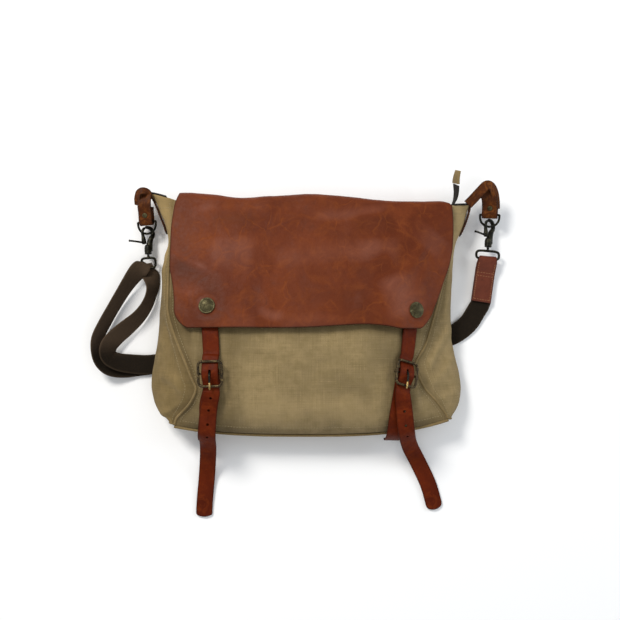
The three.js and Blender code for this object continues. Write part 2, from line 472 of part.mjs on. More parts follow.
// ---- Closure straps and buckles
const closures = {
  left: {
    top: [[-121, 16], [-119.5, -12], [-117.5, -36], [-116, -58]],
    buckle: [-115.3, -82.5], turn: 1 * DEG, // centre of the buckle and its turn in plan
    tail: [[-118, -126, 0], [-121.5, -150, 0], [-123.5, -172, 0], [-127, -205, 0], [-130, -240, 0], [-130.5, -259, 0]],
    anchorEnd: [-126, -158],
  },
  right: {
    top: [[128, 14], [126, -12], [123, -34], [119.5, -58]],
    buckle: [114, -84], turn: -14 * DEG,
    tail: [[113.5, -122, 0], [119, -146, 0], [126, -168, 0], [139, -192, 0], [152, -220, 0], [160, -250, 0]],
    anchorEnd: [104, -158],
  },
};
const STRAP_OFF = 0.5 + STRAP_T / 2; // strap mid surface over the canvas
for (const [name, c] of Object.entries(closures)) {
  const [bx, by] = c.buckle;
  const n = frontNormal(bx, by);
  // buckle frame axes: along the strap (down), across it, and out of the bag
  const down0 = [Math.sin(c.turn), -Math.cos(c.turn), 0];
  const down = unit(madd(down0, n, -(down0[0] * n[0] + down0[1] * n[1] + down0[2] * n[2])));
  const over = unit(cross(down, n)).map((k) => -k); // to the right when seen from the front
  const base = [bx, by, frontZ(bx, by)];
  const at = (a, d, h) => madd(madd(madd(base, over, a), down, d), n, h);
  const plane = 11.6; // height of the frame wire over the canvas
  const bar = 9.2; // height of the centre bar
  // rounded square frame
  const loop = [];
  const hw = 14.3, hh = 14.8, rc = 5;
  for (const [sx, sy, q0] of [[1, 1, 0], [-1, 1, 90], [-1, -1, 180], [1, -1, 270]]) {
    for (let k = 0; k < 4; k++) {
      const q = (q0 + k * 30) * DEG;
      loop.push(at(sx * (hw - rc) + rc * Math.cos(q), sy * (hh - rc) + rc * Math.sin(q), plane));
    }
  }
  add(`buckle_frame_${name}`, wire(loop, WIRE, 8, true), "bronze");
  add(`buckle_bar_${name}`, wire([at(-15.6, 0, bar - 1.2), at(-11.4, 0, bar - 1.2), at(11.4, 0, bar - 1.2), at(15.6, 0, bar - 1.2)].map((p) => p), 1.3, 8, false), "bronze");
  // closure strap: under the flap, under the frame's upper bar, over the centre bar, under the lower bar
  const rows = [];
  const topPts = c.top.map(([x, y]) => { const m = frontNormal(x, y); return madd([x, y, frontZ(x, y)], m, STRAP_OFF + (y > -30 ? 0 : name === "right" && y < -50 ? 1.8 : 0.8)); });
  const mids = [
    at(0, -21, name === "right" ? 6.4 : 4.8), at(0, -15, 7.6), at(0, -9, 10.1), at(0, -4, 12.0), at(0, 0, 12.4), at(0, 4, 11.6), at(0, 9.4, 8.4), at(0, 14.5, 7.0), at(0, 17.4, 7.0),
  ];
  const all = [...topPts, ...mids];
  const path = spline(all);
  const samples = 26;
  for (let i = 0; i <= samples; i++) {
    const p = path(i / samples);
    const m = frontNormal(p[0], p[1]);
    const k = smooth((p[1] - by - 10) / 14); // 1 high up the strap, 0 at the buckle
    const nn = unit([lerp(n[0], m[0], k), lerp(n[1], m[1], k), lerp(n[2], m[2], k)]);
    const q = path(Math.min(1, i / samples + 0.01)), q0 = path(Math.max(0, i / samples - 0.01));
    rows.push({ p, w: cross(unit(sub(q, q0)), nn) });
  }
  const strapSolid = solid(strip(rows, STRAP_W, STRAP_T, 1));
  const slotBox = place(new THREE.BoxGeometry(3.4, 12.5, 14).translate(0, 1.2, 12.4), base, over, down.map((k) => -k), n);
  add(`closure_strap_${name}`, fromSolid(strapSolid.subtract(solid(slotBox))), "strap");
  // prong: a ring round the centre bar with a tongue over the strap onto the lower bar
  const z0 = bar - 1.2;
  const tongue = [at(0, 0.2, z0 - 2.95), at(0, -2.2, z0 - 2.1), at(0, -3.0, z0), at(0, -2.6, z0 + 2.6), at(0, -0.6, z0 + 5.6), at(0, 2.6, z0 + 7.0), at(0, 8, z0 + 7.2), at(0, 14.8, z0 + 6.85), at(0, 19.2, z0 + 6.4)];
  const tp = spline(tongue);
  add(`buckle_prong_${name}`, wire(even(0, 1, 14).map(tp), 1.25, 6, false), "bronze");
  // tail: from the lower bar over the bottom edge to the ground
  const h0 = at(0, 20.8, 7.0);
  const tpts = [h0, at(0, 25, 7.2)];
  for (const [i, [x, y]] of c.tail.entries()) {
    if (i === 0) { const m = frontNormal(x, y); tpts.push(madd([x, y, frontZ(x, y)], m, 7.4)); }
    else if (i === 1) tpts.push([x, y - 6, 60]);
    else if (i === 2) tpts.push([x, y - 2, 30]);
    else if (i === 3) tpts.push([x, y, 7.0]);
    else if (i === 4) tpts.push([x, y, 2.4]);
    else tpts.push([x, y, 1.9]);
  }
  const tl = spline(tpts);
  const trows = [];
  for (let i = 0; i <= 26; i++) {
    const s = i / 26;
    const p = tl(s);
    const q = tl(Math.min(1, s + 0.01)), q0 = tl(Math.max(0, s - 0.01));
    const t = unit(sub(q, q0));
    const flat = unit(cross(t, unit([n[0] * (1 - smooth(s * 2.6)), n[1] * 0 , 1]))); // horizontal far down the strap
    const wstart = over;
    const k = smooth(s * 3);
    const sign = flat[0] * over[0] + flat[1] * over[1] < 0 ? -1 : 1;
    let w = unit([lerp(wstart[0], sign * flat[0], k), lerp(wstart[1], sign * flat[1], k), lerp(wstart[2], sign * flat[2], k)]);
    if (t[2] < -0.7) { // hanging steeply: keep the width level
      w = unit([w[0], w[1], 0]);
    }
    const tip = Math.max(0, (s - 0.955) / 0.045);
    trows.push({ p, w, width: STRAP_W * Math.sqrt(Math.max(0.12, 1 - tip * tip * 0.88)) });
  }
  add(`closure_tail_${name}`, strip(trows, STRAP_W, STRAP_T, 1), "strap");
  // anchor strap: from the bottom seam up under the tail, folded round the centre bar
  const [ax, ay] = c.anchorEnd;
  const am = frontNormal((ax + bx) / 2, -126);
  const apts = [
    [ax, ay - 3.2, 20], [ax, ay - 4.4, 34], [ax + (bx - ax) * 0.15, ay + 4, 51.5], [ax + (bx - ax) * 0.35, -133, frontZ(ax, -133) + 3.9],
    madd([(ax + bx) / 2, -118, frontZ((ax + bx) / 2, -118)], am, 2.2), at(0, 15, 2.2), at(0, 6, 2.6), at(0, 0.5, z0 - 5.4), at(0, -4.2, z0 - 3.6), at(0, -5.8, z0 - 0.6), at(0, -5.0, z0 + 1.4),
  ];
  const ap = spline(apts);
  const arows = [];
  for (let i = 0; i <= 26; i++) {
    const s = i / 26;
    const p = ap(s);
    const w = i > 13 ? over : unit([lerp(1, over[0], smooth(s * 2)), lerp(0, over[1], smooth(s * 2)), lerp(0, over[2], smooth(s * 2))]);
    arows.push({ p, w });
  }
  const anchorSolid = solid(strip(arows, STRAP_W - 1, 1.6, 1));
  const slot2 = place(new THREE.BoxGeometry(3.6, 13, 12).translate(0, 4.5, z0 - 1), base, over, down.map((k) => -k), n);
  add(`anchor_strap_${name}`, fromSolid(anchorSolid.subtract(solid(slot2))), "strap");
}

// ---- Side tabs, D-rings, hooks
function ringD(bar0, bar1, out, depth) {
  // straight bar from bar0 to bar1, bow reaching `depth` along `out`
  const mid = [0, 1, 2].map((k) => (bar0[k] + bar1[k]) / 2);
  const half = [0, 1, 2].map((k) => (bar1[k] - bar0[k]) / 2);
  const pts = [];
  pts.push(bar0, madd(mid, half, 0), bar1);
  for (let k = 1; k < 12; k++) {
    const q = (k / 12) * Math.PI;
    pts.push(madd(madd(mid, half, Math.cos(q) * 1.0), out, depth * Math.sin(q) ** 0.75));
  }
  return pts;
}
const arc = (r, a, b, n) => even(a, b, n).map((q) => new THREE.Vector2(r * Math.cos(q * DEG), r * Math.sin(q * DEG)));
function hookShapes() {
  const body = [
    ...arc(9.4, 113, -38, 12),
    ...[[6.6, -8.4], [5.6, -16], [4.2, -26.5], [-4.2, -26.5], [-5.2, -18.2], [-0.8, -17.2], [-0.8, -7.2]].map((p) => new THREE.Vector2(...p)),
    ...arc(6, -100, 112, 14),
  ];
  const gate = [
    ...arc(9.4, 118, 196, 6),
    ...[[-8.8, -10.6], [-16, -11.6], [-27, -11.0], [-27, -13.4], [-16, -14.2], [-8.6, -15.8], [-3.6, -15.8], [-3.6, -8.4]].map((p) => new THREE.Vector2(...p)),
    ...arc(6, 204, 117, 6),
  ];
  return [body, gate];
}
const [hookBody, hookGate] = hookShapes();
const extrude = (pts, t) => new THREE.ExtrudeGeometry(new THREE.Shape(pts), { depth: t, bevelEnabled: false, steps: 1 }).translate(0, 0, -t / 2);
const sides = {
  left: { jaw: [-207.8, 101.5, 12.5], roll: 40, tilt: 14, yaw: -3, sleeve: 114 },
  right: { jaw: [234.8, 110.5, 13.5], roll: 40, tilt: 14, yaw: 5, sleeve: 123 },
};
const eyes = {};
for (const [name, s] of Object.entries(sides)) {
  const r = s.roll * DEG, yw = s.yaw * DEG;
  const ya = [Math.sin(yw), Math.cos(yw), 0]; // along the hook, toward the bag's top
  const xa0 = [Math.cos(yw), -Math.sin(yw), 0];
  const za0 = [0, 0, 1];
  const xa = [0, 1, 2].map((k) => xa0[k] * Math.cos(r) - za0[k] * Math.sin(r));
  const za = [0, 1, 2].map((k) => xa0[k] * Math.sin(r) + za0[k] * Math.cos(r));
  const local = (x, y, z) => [0, 1, 2].map((k) => s.jaw[k] + xa[k] * x + ya[k] * y + za[k] * z);
  let body = solid(extrude(hookBody, HOOK_T));
  const boss = solid(new THREE.CylinderGeometry(3.6, 4.4, 7, 14).translate(0, -24.2, 0));
  body = body.add(boss);
  add(`hook_body_${name}`, place(fromSolid(body), s.jaw, xa, ya, za), "bronze");
  add(`hook_gate_${name}`, place(fromSolid(solid(extrude(hookGate, HOOK_T - 0.4))), s.jaw, xa, ya, za), "bronze");
  // D-ring through the jaw: its bow crosses the hole's middle, its bar lies in the tab's fold
  const tl = s.tilt * DEG;
  const across = [Math.cos(tl) * Math.cos(yw), -Math.cos(tl) * Math.sin(yw), Math.sin(tl)];
  const bow = local(0, -0.6, 0);
  const out = unit([0.02, -Math.cos(24 * DEG), -Math.sin(24 * DEG)]);
  const mid = madd(bow, out, -15.5);
  const b0 = madd(mid, across, -12.3), b1 = madd(mid, across, 12.3);
  add(`d_ring_${name}`, wire(ringD(b0, b1, out, 15.5), 1.45, 8, true), "bronze");
  // leather tab: folded round the bar, both ends run back to the gusset's top corner
  const rows = [];
  const up = out.map((k) => -k);
  const nrm = unit(cross(across, up));
  const topFar = name === "left" ? [-209, 149.5, 31] : [223.5, 154.5, 33.5];
  const topNear = name === "left" ? madd(madd(mid, up, 24), nrm, 4.2) : [231, 145.5, 33.5];
  const loopPts = [
    topFar, topNear,
    madd(madd(mid, up, 12), nrm, 3.6), madd(madd(mid, up, 1), nrm, 3.6), madd(mid, up, -3.8), madd(madd(mid, up, 1), nrm, -3.6), madd(madd(mid, up, 11), nrm, -3.6),
    madd(madd(mid, up, 19), nrm, -4.2),
  ];
  const lp = spline(loopPts);
  const lean = name === "left" ? across : unit([0.84, 0.5, 0.1]);
  for (let i = 0; i <= 24; i++) {
    const q = i / 24;
    const k = smooth(q / 0.3);
    rows.push({ p: lp(q), w: unit([0, 1, 2].map((j) => lerp(lean[j], across[j], k))) });
  }
  add(`side_tab_${name}`, strip(rows, name === "left" ? 18.4 : 20, 2, 1), "tab");
  // narrow strip sewn along the gusset's outer fold, running on to the tab's top
  const sd = name === "left" ? -1 : 1;
  const along = [0.14, 0.1, 0.06, 0.03, 0.01].map((t) => { const p = gusset(sd, 0.5, t); return [p[0] + (sd < 0 ? -2.9 : 3.6), p[1] + 1.2, p[2]]; });
  const ends = name === "left" ? [[-210, 153.5, 23.5], [-216, 154.5, 24]] : [[216, 146.5, 22.5], [219.5, 154.5, 24.5], [222, 161, 26.5]];
  const sp2 = spline([...along, ...ends]);
  const srows = even(0, 1, 14).map((q) => ({ p: sp2(q), w: [0, 0, 1] }));
  add(`tab_strip_${name}`, strip(srows, 12, 1.8, 1), "tab");
  const rv = madd(madd(mid, up, 9.5), nrm, 0);
  add(`tab_rivet_${name}`, turned([[0, 4.9], [3.2, 4.9], [3.2, 5.5], [1.8, 6.2], [0, 6.4]], rv, nrm, 12), "brass");
  eyes[name] = { at: local(0, -28.4, 0), xa: xa0, ya, s };
  // swivel: post in the boss, eye or oval ring below it
  const drop = name === "left" ? 6.5 : 5.4;
  const flatX = xa0;
  const c = local(0, -29.6 - 2, 0);
  const zc = [c[0], c[1], c[2]];
  const wide = name === "left" ? 9 : 14.6;
  const slope = name === "left" ? [0, -0.96, -0.28] : [0, -0.96, -0.28];
  const oval = [];
  const ny = unit(slope);
  const hx = wide, hy = drop;
  const centre = madd(zc, ny, hy + 1.0);
  for (let k = 0; k < 20; k++) {
    const q = (k / 20) * 2 * Math.PI;
    const cx = Math.sign(Math.cos(q)) * Math.abs(Math.cos(q)) ** 0.4 * hx;
    const cy = Math.sign(Math.sin(q)) * Math.abs(Math.sin(q)) ** 0.6 * hy;
    oval.push(madd(madd(centre, flatX, cx), ny, -cy));
  }
  const ring = solid(wire(oval, WIRE, 6, true));
  const post = solid(place(new THREE.CylinderGeometry(1.5, 1.5, 4.2, 10), madd(zc, ya, 1.45), xa0, ya, [0, 0, 1]));
  add(`swivel_eye_${name}`, fromSolid(ring.add(post)), "bronze");
  eyes[name].low = madd(centre, ny, hy);
  eyes[name].ny = ny;
}

// ---- Shoulder strap
// Leather end piece on the right: folded round the oval ring, holding the webbing
{
  const e = eyes.right;
  const low = e.low;
  const dir = unit([-8.7, -54, 0]);
  const w = unit([54, -8.7, 0]);
  const P = (d, h) => [low[0] + dir[0] * d, low[1] + dir[1] * d, h];
  const pts = [P(56, 7.2), P(40, 7.2), P(20, 7.8), P(8, low[2] + 1.6), P(2, low[2] + 3.6), P(-1.4, low[2] + 3.2), P(-3.4, low[2]), P(-1.4, low[2] - 3.2), P(3, low[2] - 3.6), P(9, 3.4), P(20, 1.6), P(40, 1.5), P(56, 1.5)];
  const sp = spline(pts);
  add("strap_end_tab", strip(even(0, 1, 30).map((s) => { const k = Math.min(1, Math.abs(s - 0.5) * 4); return { p: sp(s), w: unit([lerp(e.xa[0], w[0], k), lerp(e.xa[1], w[1], k), 0]), width: lerp(22, WEB_W, smooth(k * 1.2 - 0.1)) }; }), WEB_W, 1.7, 1), "strap");
}
// Webbing: from the leather end, under the bag, round the left bend, through the left eye and back to the slider
{
  const r = eyes.right.low;
  const dir = unit([-8.7, -54, 0]);
  const L = eyes.left.low;
  // x, y, z of the centre, then the lean of the width from the ground in degrees (outer edge up)
  const rows = [
    [r[0] + dir[0] * 26, r[1] + dir[1] * 26, 4.35, 0],
    [r[0] + dir[0] * 42, r[1] + dir[1] * 42, 4.35, 0],
    [r[0] + dir[0] * 57, r[1] + dir[1] * 57, 4.35, 0],
    [217.5, 2, 3.6, 0], [208, -13, 3.0, 0], [196, -24, 2.6, 0], [181, -32, 2.2, 0], [160, -37, 1.4, 0], [120, -40.5, 1.2, 0],
    [60, -45.4, 1.2, 0], [0, -50.4, 1.2, 0], [-60, -55.4, 1.2, 0], [-110, -59.6, 1.2, 0], [-150, -63, 1.2, 0], [-190, -66.6, 1.2, 0], [-215, -70, 1.4, 4],
    [-236, -73, 4.4, 14], [-252, -72, 8.2, 32], [-263, -64, 11.5, 52], [-268.5, -50, 13.2, 64], [-268, -34, 13.4, 66], [-259, -14, 13.4, 66], [-246, 10, 13.6, 66],
    [-232, 33, 15.5, 60], [-219.5, 50, 17.0, 40], [L[0] - 5.5, L[1] + 1.5, L[2] + 5.4, 6],
  ];
  const all = spline(rows);
  const n1 = 70;
  const lens = even(0, 1, n1).map((s) => {
    const q = all(s);
    const a = all(Math.max(0, s - 0.006)), b = all(Math.min(1, s + 0.006));
    const t = unit([b[0] - a[0], b[1] - a[1], 0]);
    const lean = q[3] * DEG;
    // the outer side of the bend is on the left hand, and its edge is up
    return { p: [q[0], q[1], q[2]], w: [-t[1] * Math.cos(lean), t[0] * Math.cos(lean), Math.sin(lean)], width: lerp(WEB_W, 14, smooth((s - 0.92) / 0.08)) };
  });
  add("shoulder_webbing", strip(lens, WEB_W, WEB_T, 1), "webbing");
  // return length: from the eye down the inner side, over the first length, under the bag to the slider
  const back_ = [
    [L[0] - 0.5, L[1] - 5.0, L[2] - 3.2, 0, 1], [L[0] + 3.6, L[1] - 14, 8.0, 40, 1], [-200.5, 26, 13.2, 66, 1], [-206, 8, 13.4, 66, 1], [-217, -8, 13.4, 58, 1], [-232, -22, 14, 46, 1], [-246, -35, 15.5, 42, 1], [-254, -47, 16.2, 46, 1], [-253, -58.5, 14.4, 44, 1],
    [-243, -64.5, 10.5, 28, 1], [-228, -67.0, 7.0, 12, 1], [-208, -68.2, 4.6, 2, 1], [-190, -66.6, 3.6, 0, 1], [-150, -63, 3.5, 0, 1], [-112, -59.8, 3.5, 0, 1],
  ];
  const bs = spline(back_);
  const rows2 = [];
  const n2 = 46;
  for (let i = 0; i <= n2; i++) {
    const s = i / n2;
    const q = bs(s);
    const a = bs(Math.max(0, s - 0.01)), b = bs(Math.min(1, s + 0.01));
    const t = unit([b[0] - a[0], b[1] - a[1], 0]);
    const lean = q[3] * DEG;
    const rightHand = [t[1], -t[0], 0];
    rows2.push({ p: [q[0], q[1], q[2]], w: [rightHand[0] * Math.cos(lean), rightHand[1] * Math.cos(lean), Math.sin(lean)], width: lerp(14, WEB_W, smooth(s / 0.13)) });
  }
  add("webbing_return", strip(rows2, WEB_W, WEB_T, 1), "webbing");
}
// Slider: two-slot frame lying in the hollow under the bag, the webbing's end folded round its middle bar
{
  const c = [-99, -58.7, 2.5];
  const yaw = Math.atan2(33, 395);
  const frame = solid(new THREE.BoxGeometry(17, 31, 2.2)).subtract(solid(new THREE.BoxGeometry(4.4, 26.4, 6).translate(-3.9, 0, 0))).subtract(solid(new THREE.BoxGeometry(4.4, 26.4, 6).translate(3.9, 0, 0)));
  add("strap_slider", place(fromSolid(frame), [c[0], c[1], c[2] + 0.9], [Math.cos(yaw), Math.sin(yaw), 0], [-Math.sin(yaw), Math.cos(yaw), 0], [0, 0, 1]), "bronze");
}

export default root;
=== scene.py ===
import bpy, math
import numpy as np
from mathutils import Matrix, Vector, noise


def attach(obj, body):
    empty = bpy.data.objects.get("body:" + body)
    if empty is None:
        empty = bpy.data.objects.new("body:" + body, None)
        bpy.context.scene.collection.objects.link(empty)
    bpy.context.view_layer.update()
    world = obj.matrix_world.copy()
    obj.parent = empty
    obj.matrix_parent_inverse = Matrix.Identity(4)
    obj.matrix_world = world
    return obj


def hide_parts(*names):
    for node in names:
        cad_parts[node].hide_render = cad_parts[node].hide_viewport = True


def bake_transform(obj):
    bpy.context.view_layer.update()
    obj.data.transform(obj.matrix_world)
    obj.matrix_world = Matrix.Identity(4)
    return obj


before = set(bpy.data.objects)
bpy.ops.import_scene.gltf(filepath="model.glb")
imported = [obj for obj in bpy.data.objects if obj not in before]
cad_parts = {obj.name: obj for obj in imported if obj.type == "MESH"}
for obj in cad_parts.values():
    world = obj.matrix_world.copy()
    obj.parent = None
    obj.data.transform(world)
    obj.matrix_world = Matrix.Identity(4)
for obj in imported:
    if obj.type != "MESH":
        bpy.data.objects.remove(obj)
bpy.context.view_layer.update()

DEG = math.pi / 180


# ---------------------------------------------------------------- numbers
def table(rows):
    X = np.array([r[0] for r in rows], float); Y = np.array([r[1] for r in rows], float)
    n = len(X); d = np.diff(Y) / np.diff(X); m = np.zeros(n)
    m[0] = d[0]; m[-1] = d[-1]
    for i in range(1, n - 1):
        m[i] = 0 if d[i - 1] * d[i] <= 0 else 2 * d[i - 1] * d[i] / (d[i - 1] + d[i])

    def f(s):
        s = np.asarray(s, float)
        i = np.clip(np.searchsorted(X, s, side="left") - 1, 0, n - 2)
        h = X[i + 1] - X[i]; t = np.clip((s - X[i]) / h, 0, 1); t2 = t * t; t3 = t2 * t
        return (2 * t3 - 3 * t2 + 1) * Y[i] + (t3 - 2 * t2 + t) * h * m[i] + (-2 * t3 + 3 * t2) * Y[i + 1] + (t3 - t2) * h * m[i + 1]
    return f


def spline(rows):
    R = np.array(rows, float); n = len(R) - 1

    def f(s):
        s = np.atleast_1d(np.asarray(s, float))
        g = np.clip(s, 0, 1) * n
        i = np.minimum(np.floor(g).astype(int), n - 1); t = (g - i)[:, None]
        a = R[np.maximum(i - 1, 0)]; b = R[i]; c = R[i + 1]; d = R[np.minimum(i + 2, n)]
        return 0.5 * (2 * b + (c - a) * t + (2 * a - 5 * b + 4 * c - d) * t * t + (3 * b - a - 3 * c + d) * t ** 3)
    return f


def lerp(a, b, t): return a + (b - a) * t
def smooth(x): x = np.clip(x, 0, 1); return x * x * (3 - 2 * x)
def unit(a):
    a = np.asarray(a, float)
    return a / np.maximum(np.linalg.norm(a, axis=-1, keepdims=True), 1e-12)
def vec(*a): return np.array(a, float)
def bump(x, c, w): return np.exp(-((x - c) / w) ** 2)


def fbm(P, scale, octaves=3, seed=0.0):
    out = np.empty(len(P))
    for i, p in enumerate(P):
        out[i] = noise.fractal(Vector((p[0] * scale + seed, p[1] * scale - seed, p[2] * scale)), 1.0, 2.0, octaves)
    return out


# ---------------------------------------------------------------- the bag's own surfaces, as in the CAD model (mm)
CANVAS, FLAP_T, STRAP_W, STRAP_T, WEB_W, WEB_T, CAP_R, WIRE = 1.8, 2.0, 20.5, 2.2, 25.0, 1.6, 10.0, 1.6
yTop = table([[-205, 141], [-170, 138], [-140, 134], [-100, 131], [-40, 130], [130, 129], [176, 131], [212, 133]])
def yBottom(x):
    x = np.asarray(x, float)
    return -157 + np.where(x < 0, 11 * np.abs(x / 166) ** 3, 19 * np.abs(x / 174) ** 3)
zMid = table([[0, 45], [0.126, 53], [0.262, 61], [0.398, 68], [0.534, 73], [0.67, 75], [0.789, 73], [0.874, 67], [0.935, 59], [0.976, 47], [1, 34]])
xLeft = table([[0, -168], [0.15, -171], [0.3, -173], [0.49, -172], [0.59, -164.5], [0.66, -156], [0.735, -146], [0.783, -140], [0.823, -135], [0.869, -140], [0.9, -146], [0.934, -155], [0.963, -162], [1, -165.5]])
zLeft = table([[0, 40], [0.26, 50], [0.44, 57], [0.6, 64], [0.72, 67], [0.82, 65], [0.88, 57], [0.935, 44], [0.97, 37], [1, 34]])
xRight = table([[0, 174], [0.1, 178], [0.25, 176], [0.35, 170], [0.458, 162], [0.558, 153.5], [0.643, 145], [0.715, 133], [0.77, 136.4], [0.832, 144], [0.888, 156], [0.967, 170], [1, 174]])
zRight = table([[0, 38], [0.26, 37], [0.46, 35], [0.6, 38], [0.72, 43], [0.8, 44], [0.88, 41], [0.967, 35], [1, 34]])
def tOf(x, y): return (yTop(x) - y) / (yTop(x) - yBottom(x))
def height(U, t):
    m = zMid(t)
    sl = np.maximum(0, (-U - 0.5) / 0.5); sr = np.maximum(0, (U - 0.42) / 0.58)
    return np.where(U < 0, m - (m - zLeft(t)) * sl * sl, m - (m - zRight(t)) * sr * sr)
def frontZ(x, y):
    x = np.asarray(x, float); t = np.clip(tOf(x, y), 0, 1)
    return height(np.where(x < 0, -x / xLeft(t), x / xRight(t)), t)
def front(U, t):
    U, t = np.broadcast_arrays(np.asarray(U, float), np.asarray(t, float))
    x = np.where(U < 0, -U * xLeft(t), U * xRight(t))
    return np.stack([x, lerp(yTop(x), yBottom(x), t), height(U, t)], -1)
def frontNormal(x, y):
    e = 4.0
    return unit(np.stack([-(frontZ(x + e, y) - frontZ(x - e, y)) / (2 * e), -(frontZ(x, y + e) - frontZ(x, y - e)) / (2 * e), np.ones_like(np.asarray(x, float) * 1.0)], -1))
RUN = [[-199, -67], [196, -34]]
def lift(x, y):
    d = (RUN[1][0] - RUN[0][0], RUN[1][1] - RUN[0][1]); l = math.hypot(*d)
    off = np.abs((x - RUN[0][0]) * d[1] - (y - RUN[0][1]) * d[0]) / l
    return 8 * (1 - smooth((off - 19) / 12))
def raise_(p):
    p = p.copy(); p[..., 2] += lift(p[..., 0], p[..., 1]) * np.maximum(0, 1 - p[..., 2] / 30); return p
foldLeft = table([[0, -204.5], [0.02, -196.5], [0.05, -190.5], [0.1, -184], [0.14, -180.5], [0.19, -178.6], [0.27, -182], [0.32, -184.6], [0.465, -187], [0.642, -189.5], [0.807, -193.5], [0.83, -193.5], [0.892, -191.5], [0.938, -187], [0.968, -180], [1, -167.5]])
foldRight = table([[0, 209], [0.07, 202.5], [0.12, 197], [0.173, 190], [0.24, 185.5], [0.36, 183], [0.49, 181], [0.614, 179.5], [0.677, 181.5], [0.727, 185], [0.782, 188.5], [0.844, 190.5], [0.888, 190], [0.925, 188], [0.953, 184.5], [1, 176.5]])
backLeft = table([[0, -175], [0.26, -171], [0.5, -176], [0.7, -179], [0.83, -180], [0.93, -175], [1, -162]])
backRight = table([[0, 178], [0.24, 174], [0.5, 172], [0.7, 174], [0.84, 178], [0.93, 176], [1, 168]])
def gusset(side, a, t):
    a, t = np.broadcast_arrays(np.asarray(a, float), np.asarray(t, float))
    p0 = front(np.full(t.shape, float(side)), t)
    bx = backLeft(t) if side < 0 else backRight(t)
    p1 = np.stack([bx, lerp(137, -150 + 9 * np.abs(bx / 166) ** 3, t), np.full(t.shape, 2.2)], -1)
    fx = foldLeft(t) if side < 0 else foldRight(t)
    yf = 149 if side < 0 else 138.5
    pm = np.stack([fx, (p0[..., 1] + p1[..., 1]) / 2 + (yf - 136) * np.maximum(0, 1 - t / 0.06) ** 1.6,
                   (21 + (17 if side > 0 else 22)) / 2 + 8 * smooth(t / 0.5) * (1 if side < 0 else 0.5)], -1)
    l0 = (2 * (a - 0.5) * (a - 1))[..., None]; l1 = (-4 * a * (a - 1))[..., None]; l2 = (2 * a * (a - 0.5))[..., None]
    return raise_(l0 * p0 + l1 * pm + l2 * p1)
def bottom(u, a):
    u, a = np.broadcast_arrays(np.asarray(u, float), np.asarray(a, float))
    xf = lerp(-165.5, 174, u); xb = lerp(-162, 168, u)
    p0 = np.stack([xf, yBottom(xf), np.full(u.shape, 34.0)], -1)
    p1 = np.stack([xb, -150 + 9 * np.abs(xb / 166) ** 3, np.full(u.shape, 2.2)], -1)
    pm = np.stack([(xf + xb) / 2, np.minimum(p0[..., 1], p1[..., 1]) - 1.5 * np.sin(np.pi * u), np.full(u.shape, 22.0)], -1)
    l0 = (2 * (a - 0.5) * (a - 1))[..., None]; l1 = (-4 * a * (a - 1))[..., None]; l2 = (2 * a * (a - 0.5))[..., None]
    return l0 * p0 + l1 * pm + l2 * p1
def back(u, t):
    u, t = np.broadcast_arrays(np.asarray(u, float), np.asarray(t, float))
    x = lerp(backLeft(t) + 0.8, backRight(t) - 0.8, u)
    y = lerp(137, -149.4 + 9 * np.abs(x / 166) ** 3, t)
    return np.stack([x, y, lift(x, y)], -1)
flapL = table([[-30, -162.6], [-2, -162.6], [18, -164.5], [37, -168], [49.5, -170.8], [70, -171.2], [99, -171.1], [131, -168.3], [150, -166]])
flapR = table([[-30, 151.5], [-20.7, 151.6], [-4.5, 155.2], [16, 163], [37, 170.5], [58, 178], [79, 182.4], [107, 183.3], [131, 182.2], [150, 181]])
flapBottom = table([[-170, -28.5], [-104, -29.2], [-43, -29.3], [2.5, -28.7], [42, -26.2], [71, -24.8], [95, -26.7], [114, -29.4], [139, -28], [160, -27]])
gap = table([[-40, 8.4], [0, 8.4], [25, 6.9], [60, 5], [135, 4.2]])
def flapZ(x, y):
    t = np.clip(tOf(x, y), 0, 1)
    U = np.where(np.asarray(x) < 0, -x / xLeft(t), x / xRight(t))
    return height(U, t) + gap(y) / np.clip(frontNormal(x, y)[..., 2], 0.76, 1)
def flapNormal(x, y):
    e = 3.0
    return unit(np.stack([-(flapZ(x + e, y) - flapZ(x - e, y)) / (2 * e), -(flapZ(x, y + e) - flapZ(x, y - e)) / (2 * e), np.ones_like(np.asarray(x, float))], -1))
def flapPoint(u, v):
    u, v = np.broadcast_arrays(np.asarray(u, float), np.asarray(v, float))
    y0 = lerp(129.6, -27.5, v)
    c = np.clip((-2 - y0) / 26.5, 0, 1); k = 1 - np.sqrt(np.maximum(0, 1 - c * c))
    x = lerp(flapL(y0) + 26 * k, flapR(y0) - 22 * k, u)
    y = y0 + (flapBottom(x) + 28.3) * smooth((v - 0.7) / 0.3)
    return np.stack([x, y, flapZ(x, y)], -1)
crownC = table([[-168, 158], [-162, 156], [-122, 150], [-83, 144.5], [-45, 147], [2, 150], [58, 145], [92, 140], [126, 137.5], [161, 140], [182, 143]])
def crown(u, v):
    u, v = np.broadcast_arrays(np.asarray(u, float), np.asarray(v, float))
    l = lerp(-168, flapL(130), v); r = lerp(172.5, flapR(130), smooth(v * 1.2)); x = lerp(l, r, u)
    zt = flapZ(x, np.full(x.shape, 130.2)); w = 1 - v
    y = w ** 3 * 138.55 + 3 * w * w * v * np.maximum(crownC(x), 139) + 3 * w * v * v * (np.maximum(crownC(x), 138.5) - 2) + v ** 3 * 130.3
    z = w ** 3 * 3.2 + 3 * w * w * v * (zt * 0.62 + 2) + 3 * w * v * v * (zt + 0.6) + v ** 3 * zt
    return np.stack([x, y, z], -1)


